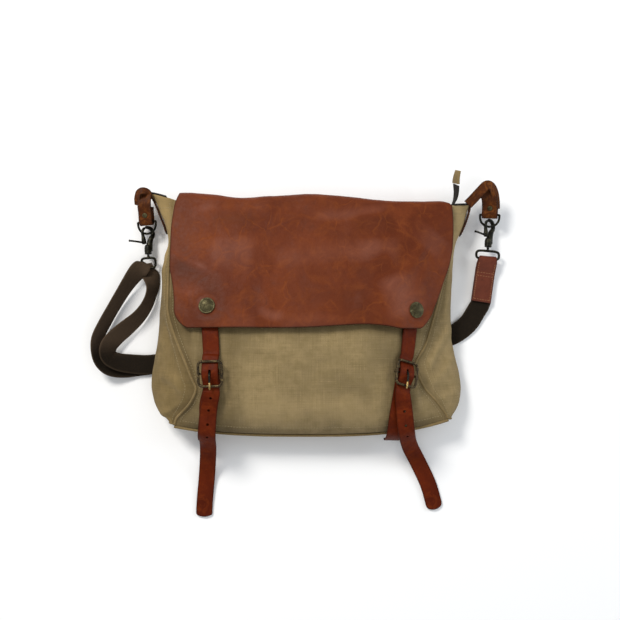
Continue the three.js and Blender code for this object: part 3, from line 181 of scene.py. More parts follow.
# ---------------------------------------------------------------- mesh makers
def make(name, verts, faces, mat, uv=None, attrs=None, smooth_=True):
    me = bpy.data.meshes.new(name)
    me.from_pydata((np.asarray(verts) / 1000).tolist(), [], [tuple(int(k) for k in f) for f in faces])
    me.polygons.foreach_set("use_smooth", [smooth_] * len(me.polygons))
    if uv is not None:
        layer = me.uv_layers.new(name="UVMap")
        idx = np.empty(len(me.loops), int); me.loops.foreach_get("vertex_index", idx)
        layer.data.foreach_set("uv", (np.asarray(uv) / 1000)[idx].ravel())
    for k, a in (attrs or {}).items():
        at = me.attributes.new(k, "FLOAT", "POINT"); at.data.foreach_set("value", np.asarray(a, float))
    me.materials.append(mat); me.update(); me.validate()
    ob = bpy.data.objects.new(name, me); bpy.context.scene.collection.objects.link(ob)
    return ob


def grid_normal(G, toward):
    n = unit(np.cross(np.gradient(G, axis=1), np.gradient(G, axis=0)))
    if np.sum(n * toward) < 0: n = -n
    return n


def slab(name, G, below, above, toward, mat, disp=None, rim=0.5, attrs=None):
    """closed sheet over a grid of points, with a soft edge"""
    nv, nu = G.shape[:2]; n = grid_normal(G, toward)
    if disp is not None:
        G = G + n * disp[..., None]; n = grid_normal(G, toward)
    T = above + below
    du = np.linalg.norm(np.diff(G, axis=1), axis=2); dv = np.linalg.norm(np.diff(G, axis=0), axis=2)
    su = np.concatenate([np.zeros((nv, 1)), np.cumsum(du, 1)], 1); su -= su[:, nu // 2][:, None]
    sv = np.concatenate([np.zeros((1, nu)), np.cumsum(dv, 0)], 0); sv = np.broadcast_to(sv[:, nu // 2][:, None], (nv, nu))
    hi = (G + n * above).reshape(-1, 3); lo = (G - n * below).reshape(-1, 3)
    at = lambda i, j: j * nu + i
    N = nu * nv
    ring = [at(i, 0) for i in range(nu)] + [at(nu - 1, j) for j in range(1, nv)] + [at(i, nv - 1) for i in range(nu - 2, -1, -1)] + [at(0, j) for j in range(nv - 2, 0, -1)]
    c = (hi + lo) / 2; R = np.array(ring); nrm = n.reshape(-1, 3)[R]
    tang = unit(np.roll(c[R], -1, 0) - np.roll(c[R], 1, 0)); out = unit(np.cross(tang, nrm))
    inner = c.mean(0)
    if np.sum(out * (c[R] - inner)) < 0: out = -out
    mid = c[R] + out * T * rim
    V = np.concatenate([hi, lo, mid]); uvs = np.stack([su.ravel(), sv.ravel()], -1)
    UV = np.concatenate([uvs, uvs, uvs[R]])
    J, I = np.meshgrid(np.arange(nv - 1), np.arange(nu - 1), indexing="ij"); a = (J * nu + I).ravel()
    top = np.stack([a, a + 1, a + nu + 1, a + nu], -1); F = [top, top[:, ::-1] + N]
    k = np.arange(len(R)); k2 = (k + 1) % len(R)
    F += [np.stack([R[k], 2 * N + k, 2 * N + k2, R[k2]], -1), np.stack([2 * N + k, R[k] + N, R[k2] + N, 2 * N + k2], -1)]
    F = np.concatenate(F)
    p = V[F[0]]; nf = np.cross(p[1] - p[0], p[2] - p[0])
    if np.dot(nf, n.reshape(-1, 3)[F[0][0]]) < 0: F = F[:, ::-1]
    e = np.minimum(np.minimum(su - su[:, :1], su[:, -1:] - su), np.minimum(sv, sv[-1:] - sv)).ravel()
    A = {"edge": np.concatenate([e, e, np.zeros(len(R))])}
    for kk, vv in (attrs or {}).items(): A[kk] = np.concatenate([vv.ravel(), vv.ravel(), vv.ravel()[R]])
    ob = make(name, V, F, mat, UV, A); fix_normals(ob)
    return ob, G, n


def fix_normals(ob):
    import bmesh
    bm = bmesh.new(); bm.from_mesh(ob.data); bmesh.ops.recalc_face_normals(bm, faces=bm.faces); bm.to_mesh(ob.data); bm.free()


def resample(P, n, closed=False, extra=None):
    P = np.asarray(P, float)
    if closed: P = np.concatenate([P, P[:1]])
    L = np.concatenate([[0], np.cumsum(np.linalg.norm(np.diff(P[:, :3], axis=0), axis=1))])
    s = np.linspace(0, L[-1], n + 1)[:-1] if closed else np.linspace(0, L[-1], n)
    return np.stack([np.interp(s, L, P[:, k]) for k in range(P.shape[1])], -1)


def ease(P, times=2):
    P = P.copy()
    for _ in range(times): P[1:-1] = P[1:-1] * 0.5 + (P[:-2] + P[2:]) * 0.25
    return P


TOP = [-0.93, -0.75, -0.5, -0.25, 0, 0.25, 0.5, 0.75, 0.93]
def band(name, rows, width, thick, mat, n=160, dome=0.05, widths=None, twist=None, soft=1):
    """flat strap: rows of x, y, z, and the width direction; rounded edges"""
    R = np.asarray(rows, float)
    if widths is not None: R = np.concatenate([R, np.asarray(widths, float)[:, None]], 1)
    R = ease(resample(R, n), soft); P = R[:, :3]; t = unit(np.gradient(P, axis=0)); w = R[:, 3:6]
    w = unit(w - t * np.sum(w * t, -1, keepdims=True)); nn = unit(np.cross(w, t))
    W = R[:, 6] if widths is not None else np.full(len(P), width)
    prof = [(a, 1 + dome * (1 - a * a)) for a in TOP] + [(0.985, 0.62), (1.0, 0.0), (0.985, -0.62)] + [(a, -1) for a in reversed(TOP)] + [(-0.985, -0.62), (-1.0, 0.0), (-0.985, 0.62)]
    M = len(prof); A = np.array([p[0] for p in prof]); H = np.array([p[1] for p in prof])
    V = P[:, None] + w[:, None] * (A[None, :, None] * W[:, None, None] / 2) + nn[:, None] * (H[None, :, None] * thick / 2)
    L = np.concatenate([[0], np.cumsum(np.linalg.norm(np.diff(P, axis=0), axis=1))])
    UV = np.stack([np.broadcast_to(A * width / 2, (len(P), M)), np.broadcast_to(L[:, None], (len(P), M))], -1).reshape(-1, 2)
    J, I = np.meshgrid(np.arange(len(P) - 1), np.arange(M), indexing="ij"); a = (J * M + I).ravel(); b = (J * M + (I + 1) % M).ravel()
    F = [tuple(f) for f in np.stack([a, b, b + M, a + M], -1)] + [tuple(range(M)), tuple((len(P) - 1) * M + k for k in range(M))]
    e = (1 - np.abs(A))[None, :] * W[:, None] / 2; e = np.minimum(e, np.minimum(L, L[-1] - L)[:, None] + 0.0)
    ob = make(name, V.reshape(-1, 3), F, mat, UV, {"edge": e.ravel()}); fix_normals(ob)
    return ob, P, w, nn, L


def tube(name, path, r, mat, sides=14, closed=False, n=None, ribs=None):
    P = np.asarray(path, float)
    if n: P = resample(P, n, closed)
    N = len(P)
    if not closed: P = ease(P, 1)
    else:
        for _ in range(3): P = P * 0.5 + (np.roll(P, 1, 0) + np.roll(P, -1, 0)) * 0.25
    t = unit(np.roll(P, -1, 0) - np.roll(P, 1, 0)) if closed else unit(np.gradient(P, axis=0))
    nrm = unit(np.cross(t[0], [0, 0, 1] if abs(t[0][2]) < 0.9 else [1, 0, 0])); fr = []
    for i in range(N):
        nrm = unit(nrm - t[i] * np.dot(nrm, t[i])); fr.append(nrm)
    fr = np.array(fr); bn = np.cross(t, fr)
    L = np.concatenate([[0], np.cumsum(np.linalg.norm(np.diff(P, axis=0), axis=1))])
    q = np.arange(sides) / sides * 2 * np.pi
    rr = np.broadcast_to(np.asarray(r, float), (N,))[:, None] * np.ones((1, sides))
    if ribs: rr = rr * (1 + ribs[1] * np.sin(L[:, None] / ribs[0] * 2 * np.pi + 0 * q[None]))
    V = P[:, None] + fr[:, None] * (np.cos(q)[None, :, None] * rr[..., None]) + bn[:, None] * (np.sin(q)[None, :, None] * rr[..., None])
    F = []
    for i in range(N if closed else N - 1):
        j = (i + 1) % N
        for k in range(sides):
            l = (k + 1) % sides; F.append((i * sides + k, i * sides + l, j * sides + l, j * sides + k))
    if not closed: F += [tuple(range(sides)), tuple((N - 1) * sides + k for k in range(sides))]
    UV = np.stack([np.broadcast_to(q * np.mean(rr), (N, sides)), np.broadcast_to(L[:, None], (N, sides))], -1).reshape(-1, 2)
    ob = make(name, V.reshape(-1, 3), F, mat, UV, {"edge": np.ones(N * sides)}); fix_normals(ob)
    return ob


def lathe(name, prof, centre, axis, mat, sides=56, ring=False):
    z = unit(axis); x = unit(np.cross([0, 1, 0] if abs(z[1]) < 0.9 else [1, 0, 0], z)); y = np.cross(z, x)
    q = np.arange(sides) / sides * 2 * np.pi; V = []; F = []; rows = []
    for r, h in prof:
        if r < 1e-6: rows.append([len(V)]); V.append(centre + z * h); continue
        rows.append(list(range(len(V), len(V) + sides)))
        V += list(centre + z * h + r * (np.cos(q)[:, None] * x + np.sin(q)[:, None] * y))
    for i in range(len(prof) if ring else len(prof) - 1):
        a, b = rows[i], rows[(i + 1) % len(prof)]
        for k in range(sides):
            l = (k + 1) % sides
            if len(a) == 1: F.append((a[0], b[k], b[l]))
            elif len(b) == 1: F.append((a[k], b[0], a[l]))
            else: F.append((a[k], b[k], b[l], a[l]))
    V = np.array(V); ob = make(name, V, F, mat, V[:, :2], {"edge": np.ones(len(V))}); fix_normals(ob)
    return ob


def stitches(name, runs, mat, pitch=4.0, length=2.9, r=0.36, sink=0.05):
    """thread along runs of (points, normals): each stitch a short rounded grain, half sunk in the cloth"""
    xs = np.array([-1, -0.82, -0.35, 0.35, 0.82, 1]); rs = np.array([0.25, 0.75, 1, 1, 0.75, 0.25]); S = 6
    q = np.arange(S) / S * 2 * np.pi; V = []; F = []
    for P, Nn in runs:
        P = np.asarray(P, float); Nn = np.asarray(Nn, float)
        L = np.concatenate([[0], np.cumsum(np.linalg.norm(np.diff(P, axis=0), axis=1))]); k = max(1, int(L[-1] / pitch))
        for c in (np.arange(k) + 0.5) * L[-1] / k:
            f = lambda s: np.array([np.interp(s, L, P[:, d]) for d in range(3)])
            a, b = f(c - length / 2), f(c + length / 2); m = (a + b) / 2; t = unit(b - a)
            nn = unit(np.array([np.interp(c, L, Nn[:, d]) for d in range(3)])); nn = unit(nn - t * np.dot(nn, t)); s = np.cross(t, nn)
            o = len(V)
            for x_, r_ in zip(xs, rs):
                for g in q: V.append(m + t * x_ * length / 2 + (s * math.cos(g) + nn * math.sin(g)) * r_ * r + nn * (sink - 0.25 * abs(x_) ** 2 * r))
            for i in range(5):
                for g in range(S): F.append((o + i * S + g, o + i * S + (g + 1) % S, o + (i + 1) * S + (g + 1) % S, o + (i + 1) * S + g))
            F += [tuple(o + g for g in range(S)), tuple(o + 5 * S + g for g in range(S))]
    ob = make(name, V, F, mat, np.array(V)[:, :2], {"edge": np.ones(len(V))}); fix_normals(ob)
    return ob


def cut(ob, cutters):
    """real holes: each cutter is (points of a loop in mm, axis, depth)"""
    V = []; F = []
    for c, ax, r, d in cutters:
        z = unit(ax); x = unit(np.cross([0, 1, 0] if abs(z[1]) < 0.9 else [1, 0, 0], z)); y = np.cross(z, x); o = len(V); S = 20
        for h in (-d, d):
            for k in range(S):
                g = k / S * 2 * np.pi
                if isinstance(r, tuple): V.append(c + z * h + r[2] * np.sign(math.cos(g)) * abs(math.cos(g)) ** 0.5 * r[0] + r[3] * np.sign(math.sin(g)) * abs(math.sin(g)) ** 0.5 * r[1])
                else: V.append(c + z * h + (x * math.cos(g) + y * math.sin(g)) * r)
        F += [tuple(range(o, o + S)), tuple(range(o + S, o + 2 * S))] + [(o + k, o + (k + 1) % S, o + S + (k + 1) % S, o + S + k) for k in range(S)]
    ct = make("cutter", V, F, ob.data.materials[0]); fix_normals(ct)
    m = ob.modifiers.new("holes", "BOOLEAN"); m.operation = "DIFFERENCE"; m.solver = "EXACT"; m.object = ct
    dg = bpy.context.evaluated_depsgraph_get(); me = bpy.data.meshes.new_from_object(ob.evaluated_get(dg)); ob.modifiers.clear()
    old = ob.data; ob.data = me; bpy.data.meshes.remove(old); bpy.data.objects.remove(ct)


# ---------------------------------------------------------------- materials
def lin(r, g, b, k=1.0):
    f = lambda c: ((c / 255 + 0.055) / 1.055) ** 2.4 if c > 10 else c / 255 / 12.92
    return (min(1, f(r) * k), min(1, f(g) * k), min(1, f(b) * k), 1)


class Mat:
    def __init__(self, name, metallic=0.0, rough=0.7, spec=0.5, sheen=0.0, coat=0.0, coat_rough=0.3):
        self.m = bpy.data.materials.new(name); self.m.use_nodes = True; self.nt = self.m.node_tree; self.nt.nodes.clear()
        self.b = self.n("ShaderNodeBsdfPrincipled"); o = self.n("ShaderNodeOutputMaterial"); self.nt.links.new(self.b.outputs[0], o.inputs[0])
        self.b.inputs["Metallic"].default_value = metallic; self.b.inputs["Roughness"].default_value = rough
        self.b.inputs["Specular IOR Level"].default_value = spec; self.b.inputs["Sheen Weight"].default_value = sheen
        self.b.inputs["Sheen Roughness"].default_value = 0.5; self.b.inputs["Coat Weight"].default_value = coat; self.b.inputs["Coat Roughness"].default_value = coat_rough

    def n(self, kind, **kw):
        x = self.nt.nodes.new(kind)
        for k, v in kw.items(): setattr(x, k, v)
        return x

    def put(self, sock, v):
        if isinstance(v, bpy.types.NodeSocket): self.nt.links.new(v, sock)
        else: sock.default_value = v

    def uv(self): return self.n("ShaderNodeUVMap", uv_map="UVMap").outputs[0]
    def obj(self): return self.n("ShaderNodeTexCoord").outputs["Object"]

    def scale(self, v, s, loc=(0, 0, 0), rot=0.0):
        m = self.n("ShaderNodeMapping"); self.put(m.inputs[0], v); m.inputs["Scale"].default_value = s; m.inputs["Location"].default_value = loc
        m.inputs["Rotation"].default_value = (0, 0, rot); return m.outputs[0]

    def noise(self, v, s, detail=4, rough=0.55, dist=0.0, loc=None):
        if loc is not None: v = self.scale(v, (1, 1, 1), loc)
        x = self.n("ShaderNodeTexNoise"); self.put(x.inputs["Vector"], v); x.inputs["Scale"].default_value = s; x.inputs["Detail"].default_value = detail
        x.inputs["Roughness"].default_value = rough; x.inputs["Distortion"].default_value = dist; return x.outputs[0]

    def voronoi(self, v, s, feature="F1", rnd=1.0):
        x = self.n("ShaderNodeTexVoronoi", feature=feature); self.put(x.inputs["Vector"], v); x.inputs["Scale"].default_value = s; x.inputs["Randomness"].default_value = rnd
        return x.outputs["Distance"]

    def math(self, op, a, b=0.0, c=0.0, clamp=False):
        x = self.n("ShaderNodeMath", operation=op, use_clamp=clamp); self.put(x.inputs[0], a); self.put(x.inputs[1], b); self.put(x.inputs[2], c); return x.outputs[0]

    def span(self, v, a, b, lo=0.0, hi=1.0):
        x = self.n("ShaderNodeMapRange", interpolation_type="SMOOTHSTEP"); self.put(x.inputs[0], v)
        for i, k in zip((1, 2, 3, 4), (a, b, lo, hi)): x.inputs[i].default_value = k
        return x.outputs[0]

    def mix(self, f, a, b, kind="MIX"):
        x = self.n("ShaderNodeMix", data_type="RGBA", blend_type=kind); self.put(x.inputs[0], f)
        self.put(x.inputs[6], a); self.put(x.inputs[7], b); return x.outputs[2]

    def attr(self, name): return self.n("ShaderNodeAttribute", attribute_name=name).outputs["Fac"]
    def xy(self, v):
        s = self.n("ShaderNodeSeparateXYZ"); self.put(s.inputs[0], v); return s.outputs[0], s.outputs[1]

    def bump(self, h, strength, dist, normal=None):
        x = self.n("ShaderNodeBump"); self.put(x.inputs["Height"], h); x.inputs["Strength"].default_value = strength; x.inputs["Distance"].default_value = dist
        if normal is not None: self.put(x.inputs["Normal"], normal)
        return x.outputs[0]

    def finish(self, color, rough=None, normal=None):
        self.put(self.b.inputs["Base Color"], color)
        if rough is not None: self.put(self.b.inputs["Roughness"], rough)
        if normal is not None: self.put(self.b.inputs["Normal"], normal)
        return self.m


def canvas_material(name, base, pitch=0.00105, depth=1.0, coords="uv"):
    M = Mat(name, rough=0.92, spec=0.12, sheen=0.06)
    v = M.uv() if coords == "uv" else M.obj(); x, y = M.xy(v)
    wob = M.math("MULTIPLY", M.math("SUBTRACT", M.noise(v, 260, 2), 0.5), 0.9)
    a = M.math("SINE", M.math("ADD", M.math("MULTIPLY", x, 2 * math.pi / pitch), wob)); b = M.math("SINE", M.math("ADD", M.math("MULTIPLY", y, 2 * math.pi / pitch), wob))
    weave = M.math("MULTIPLY_ADD", M.math("MULTIPLY", a, b), 0.5, 0.5)
    s1 = M.noise(M.scale(v, (900, 26, 1)), 1, 3, 0.6); s2 = M.noise(M.scale(v, (26, 900, 1), (3, 7, 0)), 1, 3, 0.6)
    slub = M.math("ADD", M.math("SUBTRACT", s1, 0.5), M.math("SUBTRACT", s2, 0.5))
    tone = M.noise(v, 14, 4, 0.6, 0.4, (0.3, 0.1, 0)); fine = M.noise(v, 90, 5, 0.65)
    c = M.mix(M.span(tone, 0.3, 0.72), lin(*[k * 0.90 for k in base]), lin(*[min(255, k * 1.08) for k in base]))
    c = M.mix(M.span(fine, 0.35, 0.7, 0, 0.5), c, lin(base[0] * 0.86, base[1] * 0.86, base[2] * 0.80))
    c = M.mix(M.span(slub, 0.06, 0.26, 0, 0.42), c, lin(min(255, base[0] * 1.17), min(255, base[1] * 1.16), min(255, base[2] * 1.17)))
    c = M.mix(M.span(slub, -0.06, -0.26, 0, 0.42), c, lin(base[0] * 0.78, base[1] * 0.76, base[2] * 0.70))
    c = M.mix(M.span(weave, 0.32, 0.0, 0, 0.30), c, lin(base[0] * 0.55, base[1] * 0.53, base[2] * 0.46))
    if coords == "uv":
        worn = M.span(M.math("ADD", M.attr("edge"), M.math("MULTIPLY", M.noise(v, 300, 3), 2.0)), 2.6, 0.9, 0, 0.30)
        c = M.mix(worn, c, lin(min(255, base[0] * 1.2), min(255, base[1] * 1.2), min(255, base[2] * 1.2)))
        # shade_and_dirt attribute: positive values darken the cloth (mostly painted shade, with darker bands along the
        # seams), negative values lighten it (mostly painted light)
        c = M.mix(M.math("MULTIPLY", M.attr("shade_and_dirt"), 0.62, clamp=True), c, lin(base[0] * 0.50, base[1] * 0.46, base[2] * 0.36))
        c = M.mix(M.math("MULTIPLY", M.attr("shade_and_dirt"), -1.0, clamp=True), c, lin(min(255, base[0] * 1.34), min(255, base[1] * 1.34), min(255, base[2] * 1.36)))
    h = M.math("ADD", weave, M.math("MULTIPLY", slub, 1.5))
    nrm = M.bump(h, 0.55 * depth, 0.00035)
    nrm = M.bump(M.noise(v, 60, 4, 0.6, 0.6), 0.28 * depth, 0.0035, nrm)
    return M.finish(c, M.span(fine, 0.3, 0.7, 0.86, 0.97), nrm)


def leather_material(name, dark, mid, light, rough=(0.34, 0.56), coat=0.12, wear=1.0, scratch=0.5, edge_dark=0.55, pores=1.0, scale=1.0, spec=0.16):
    M = Mat(name, rough=0.5, spec=spec, coat=coat, coat_rough=0.4)
    v = M.uv()
    big = M.noise(v, 11 * scale, 5, 0.6, 0.9); mott = M.noise(v, 42 * scale, 8, 0.66, 1.4, (0.7, 0.2, 0)); tiny = M.noise(v, 210, 6, 0.7, 0.6)
    c = M.mix(M.span(big, 0.32, 0.70), lin(*dark), lin(*mid))
    c = M.mix(M.span(mott, 0.46, 0.72, 0, 0.62 * wear), c, lin(*light))
    c = M.mix(M.span(mott, 0.44, 0.26, 0, 0.45), c, lin(*[k * 0.78 for k in dark]))
    warp = M.n("ShaderNodeVectorMath", operation="MULTIPLY_ADD")
    nz = M.n("ShaderNodeTexNoise"); M.put(nz.inputs["Vector"], v); nz.inputs["Scale"].default_value = 30 * scale; nz.inputs["Detail"].default_value = 4
    M.put(warp.inputs[0], nz.outputs["Color"]); warp.inputs[1].default_value = (0.035, 0.035, 0); M.put(warp.inputs[2], v)
    w = warp.outputs[0]
    crack = M.span(M.voronoi(M.scale(w, (1, 0.62, 1)), 38 * scale, "DISTANCE_TO_EDGE"), 0.045, 0.0)
    mask = M.span(M.noise(v, 17 * scale, 4, 0.6, 0.5, (2.1, 0.4, 0)), 0.48, 0.68)
    crack = M.math("MULTIPLY", crack, mask)
    c = M.mix(M.math("MULTIPLY", crack, scratch), c, lin(min(255, light[0] * 1.12), min(255, light[1] * 1.15), min(255, light[2] * 1.1)))
    s1 = M.noise(M.scale(v, (22, 420, 1), rot=0.18), 1, 3, 0.6, 0.3); s2 = M.noise(M.scale(v, (380, 26, 1), (4, 1, 0), rot=-0.32), 1, 3, 0.6, 0.3)
    fines = M.math("MAXIMUM", M.span(s1, 0.66, 0.78), M.span(s2, 0.68, 0.80))
    c = M.mix(M.math("MULTIPLY", fines, 0.45 * scratch), c, lin(min(255, light[0] * 1.1), min(255, light[1] * 1.1), min(255, light[2] * 1.1)))
    c = M.mix(M.span(tiny, 0.5, 0.75, 0, 0.22), c, lin(*[k * 0.7 for k in dark]))
    e = M.math("ADD", M.attr("edge"), M.math("MULTIPLY", M.math("SUBTRACT", tiny, 0.5), 1.2))
    c = M.mix(M.span(e, 2.6, 0.5, 0, 0.35), c, lin(*[k * 0.72 for k in dark]))
    c = M.mix(M.span(e, 0.55, 0.15, 0, edge_dark), c, lin(*[k * 0.45 for k in dark]))
    broken = M.math("MULTIPLY_ADD", M.math("SUBTRACT", mott, 0.5), 0.9, 1.0)
    # shade attribute: painted shade where positive; where negative, a painted sheen in a pale pinkish tone
    c = M.mix(M.math("MULTIPLY", M.math("MULTIPLY", M.attr("shade"), broken), 0.75, clamp=True), c, lin(*[k * 0.66 for k in dark]))
    c = M.mix(M.math("MULTIPLY", M.math("MULTIPLY", M.attr("shade"), broken), -0.75, clamp=True), c, lin(164, 112, 96))
    pore = M.voronoi(v, 900, "SMOOTH_F1"); grain = M.voronoi(M.scale(w, (1, 1, 1)), 330, "DISTANCE_TO_EDGE")
    h = M.math("ADD", M.math("MULTIPLY", M.span(grain, 0.0, 0.14), 0.8 * pores), M.math("MULTIPLY", pore, 0.35 * pores))
    nrm = M.bump(h, 0.16, 0.0004)
    nrm = M.bump(M.math("SUBTRACT", M.noise(v, 75 * scale, 6, 0.62, 0.8), M.math("MULTIPLY", crack, 0.35)), 0.22, 0.0022, nrm)
    nrm = M.bump(M.noise(v, 16 * scale, 3, 0.5, 0.5), 0.16, 0.012, nrm)
    r = M.math("MULTIPLY_ADD", M.math("ADD", crack, fines), 0.12, M.span(M.math("ADD", M.math("MULTIPLY", mott, 0.5), M.math("MULTIPLY", tiny, 0.5)), 0.38, 0.62, *rough))
    return M.finish(c, r, nrm)


def metal_material(name, dark, mid, bright, rough=(0.32, 0.55), metallic=0.85, scale=1.0):
    M = Mat(name, metallic=metallic, rough=0.45, spec=0.5)
    v = M.obj(); a = M.noise(v, 260 * scale, 5, 0.62, 0.6); b = M.noise(v, 1300 * scale, 4, 0.6)
    c = M.mix(M.span(a, 0.36, 0.60), lin(*dark), lin(*mid)); c = M.mix(M.span(a, 0.56, 0.70, 0, 0.8), c, lin(*bright))
    c = M.mix(M.span(b, 0.40, 0.30, 0, 0.7), c, lin(*[k * 0.5 for k in dark]))
    sc = M.noise(M.scale(v, (3000, 260, 900)), 1, 2, 0.5); c = M.mix(M.span(sc, 0.66, 0.76, 0, 0.5), c, lin(*bright))
    nrm = M.bump(b, 0.25, 0.00025); nrm = M.bump(a, 0.25, 0.0007, nrm)
    return M.finish(c, M.span(b, 0.3, 0.7, *rough), nrm)


def webbing_material(name, base, light):
    M = Mat(name, rough=0.85, spec=0.1, sheen=0.0)
    v = M.uv(); x, y = M.xy(v); p = 0.0019
    zig = M.math("MULTIPLY", M.math("ABSOLUTE", M.math("SUBTRACT", M.math("FRACT", M.math("DIVIDE", x, 0.0062)), 0.5)), 2.0)
    ph = M.math("ADD", M.math("DIVIDE", y, p), M.math("MULTIPLY", zig, 1.55))
    row = M.math("MULTIPLY_ADD", M.math("SINE", M.math("MULTIPLY", ph, 2 * math.pi)), 0.5, 0.5)
    cord = M.math("MULTIPLY_ADD", M.math("SINE", M.math("MULTIPLY", x, 2 * math.pi / 0.00103)), 0.5, 0.5)
    edge = M.span(M.attr("edge"), 2.1, 1.5)
    h = M.math("ADD", M.math("MULTIPLY", row, 0.75), M.math("MULTIPLY", cord, 0.35))
    t = M.noise(v, 40, 4, 0.6); f = M.noise(M.scale(v, (1500, 150, 1)), 1, 3, 0.6)
    c = M.mix(M.span(h, 0.2, 0.95), lin(*[k * 0.58 for k in base]), lin(*base)); c = M.mix(M.span(f, 0.5, 0.75, 0, 0.5), c, lin(*light))
    c = M.mix(M.span(t, 0.35, 0.7, 0, 0.35), c, lin(*[k * 0.7 for k in base]))
    c = M.mix(M.math("MULTIPLY", edge, 0.35), c, lin(*light))
    c = M.mix(M.span(M.attr("edge"), 1.0, 0.2, 0, 0.4), c, lin(*[min(255, k * 1.25) for k in light]))
    ox, oy = M.xy(M.obj())   # the loop beside the bag is made paler by position, most on the raised rows of the weave
    loop_pale_tone = M.math("MULTIPLY", M.span(oy, -0.062, -0.034, 0, 0.85), M.span(ox, -0.185, -0.205, 0, 1))
    c = M.mix(M.math("MULTIPLY", loop_pale_tone, M.span(h, 0.0, 0.7, 0.35, 1.0)), c, lin(86, 70, 55))
    return M.finish(c, M.span(f, 0.3, 0.7, 0.78, 0.92), M.bump(h, 0.6, 0.0004))


def tape_material(name, base):
    M = Mat(name, rough=0.8, spec=0.25)
    v = M.obj(); x, y = M.xy(v)
    h = M.math("MULTIPLY", M.math("SINE", M.math("MULTIPLY", x, 2 * math.pi / 0.0009)), M.math("SINE", M.math("MULTIPLY", M.math("ADD", y, x), 2 * math.pi / 0.0008)))
    f = M.noise(v, 500, 4, 0.6)
    c = M.mix(M.span(h, -0.8, 0.8), lin(*[k * 0.6 for k in base]), lin(*base)); c = M.mix(M.span(f, 0.45, 0.7, 0, 0.4), c, lin(*[min(255, k * 1.5) for k in base]))
    return M.finish(c, None, M.bump(h, 0.4, 0.0003))


def thread_material(name, base):
    M = Mat(name, rough=0.75, spec=0.25, sheen=0.05)
    v = M.obj(); x, y = M.xy(v)
    ply = M.math("SINE", M.math("MULTIPLY", M.math("ADD", x, y), 2 * math.pi / 0.0007)); f = M.noise(v, 120, 3)
    c = M.mix(M.span(ply, -0.7, 0.7), lin(*[k * 0.78 for k in base]), lin(*base)); c = M.mix(M.span(f, 0.4, 0.7, 0, 0.4), c, lin(*[k * 0.8 for k in base]))
    return M.finish(c, None, M.bump(ply, 0.4, 0.0002))


KHAKI = (141, 122, 86)
canvas = canvas_material("canvas_khaki", KHAKI)
# a darker copy of the khaki canvas: painted shade for the left gusset and the bottom
canvas_shaded = canvas_material("canvas_khaki_shaded", (131, 111, 73))
canvas_edge = canvas_material("canvas_binding", (130, 110, 74), pitch=0.0009, depth=0.8)
canvas_cad = canvas_material("canvas_inner", (132, 113, 80), coords="obj")
lining_mat = canvas_material("lining_cotton", (104, 94, 74), pitch=0.0006, depth=0.4, coords="obj")
flap_leather = leather_material("leather_flap", (88, 36, 12), (106, 48, 19), (132, 68, 26), wear=0.5, scratch=0.26, rough=(0.50, 0.68), coat=0.02, spec=0.12)
strap_leather = leather_material("leather_strap", (74, 20, 1), (95, 31, 3), (126, 54, 12), wear=0.6, scratch=0.25, scale=1.6, rough=(0.48, 0.64), coat=0.0, spec=0.08)
end_leather = leather_material("leather_end", (86, 38, 22), (100, 46, 28), (124, 64, 40), wear=0.4, scratch=0.15, scale=1.6, rough=(0.42, 0.58), coat=0.02, spec=0.18)
tab_leather = leather_material("leather_tab", (56, 24, 3), (84, 40, 7), (132, 76, 26), wear=0.9, scratch=0.4, scale=2.0, rough=(0.5, 0.72), coat=0.02, spec=0.12)
bronze = metal_material("antique_bronze", (20, 20, 16), (38, 37, 28), (88, 80, 56))
bronze_wire = metal_material("antique_bronze_wire", (44, 36, 26), (80, 66, 44), (140, 118, 78))
brass = metal_material("antique_brass", (58, 52, 32), (86, 80, 54), (122, 114, 82), rough=(0.46, 0.66), scale=0.7)
bright_brass = metal_material("worn_brass_tip", (120, 96, 52), (176, 148, 92), (214, 190, 130), rough=(0.22, 0.4))
zip_metal = metal_material("zip_brass", (60, 52, 34), (104, 92, 60), (150, 134, 92), scale=1.5)
webbing_mat = webbing_material("webbing_brown", (35, 27, 18), (58, 47, 35))
zip_cloth = tape_material("zip_tape_cloth", (40, 37, 34))
thread = thread_material("thread_khaki", (170, 152, 112))
thread_dark = thread_material("thread_brown", (96, 52, 30))
thread_light = thread_material("thread_tan", (176, 124, 80))


# ---------------------------------------------------------------- canvas body
STRAPX = {"left": table([[-260, -130], [-158, -122], [-83, -115.3], [-36, -117.5], [16, -121]]), "right": table([[-260, 160], [-158, 122], [-84, 114], [-58, 119.5], [-12, 126], [14, 128]])}
def wrinkles(G, seed, amp=1.0, keep=True):
    P = G.reshape(-1, 3)
    d = fbm(P, 1 / 46, 3, seed) * 0.9 + fbm(P * [1, 0.45, 1], 1 / 17, 2, seed + 5) * 0.35
    d = d.reshape(G.shape[:2]) * amp
    return d - 0.4
def rolls(G, list_):
    """soft folds: each a line in plan (x0, y0, x1, y1), half width and height"""
    d = np.zeros(G.shape[:2]); x, y = G[..., 0], G[..., 1]
    for x0, y0, x1, y1, w, h in list_:
        l = math.hypot(x1 - x0, y1 - y0); tx, ty = (x1 - x0) / l, (y1 - y0) / l
        s = ((x - x0) * tx + (y - y0) * ty) / l; o = (x - x0) * ty - (y - y0) * tx + 3.0 * np.sin(s * 3.4 + x0)
        ends = smooth((s + 0.12) / 0.3) * smooth((1.12 - s) / 0.3)
        d += h * (np.exp(-(o / w) ** 2) - 0.55 * np.exp(-((o - 1.7 * w) / (1.3 * w)) ** 2)) * ends
    return d

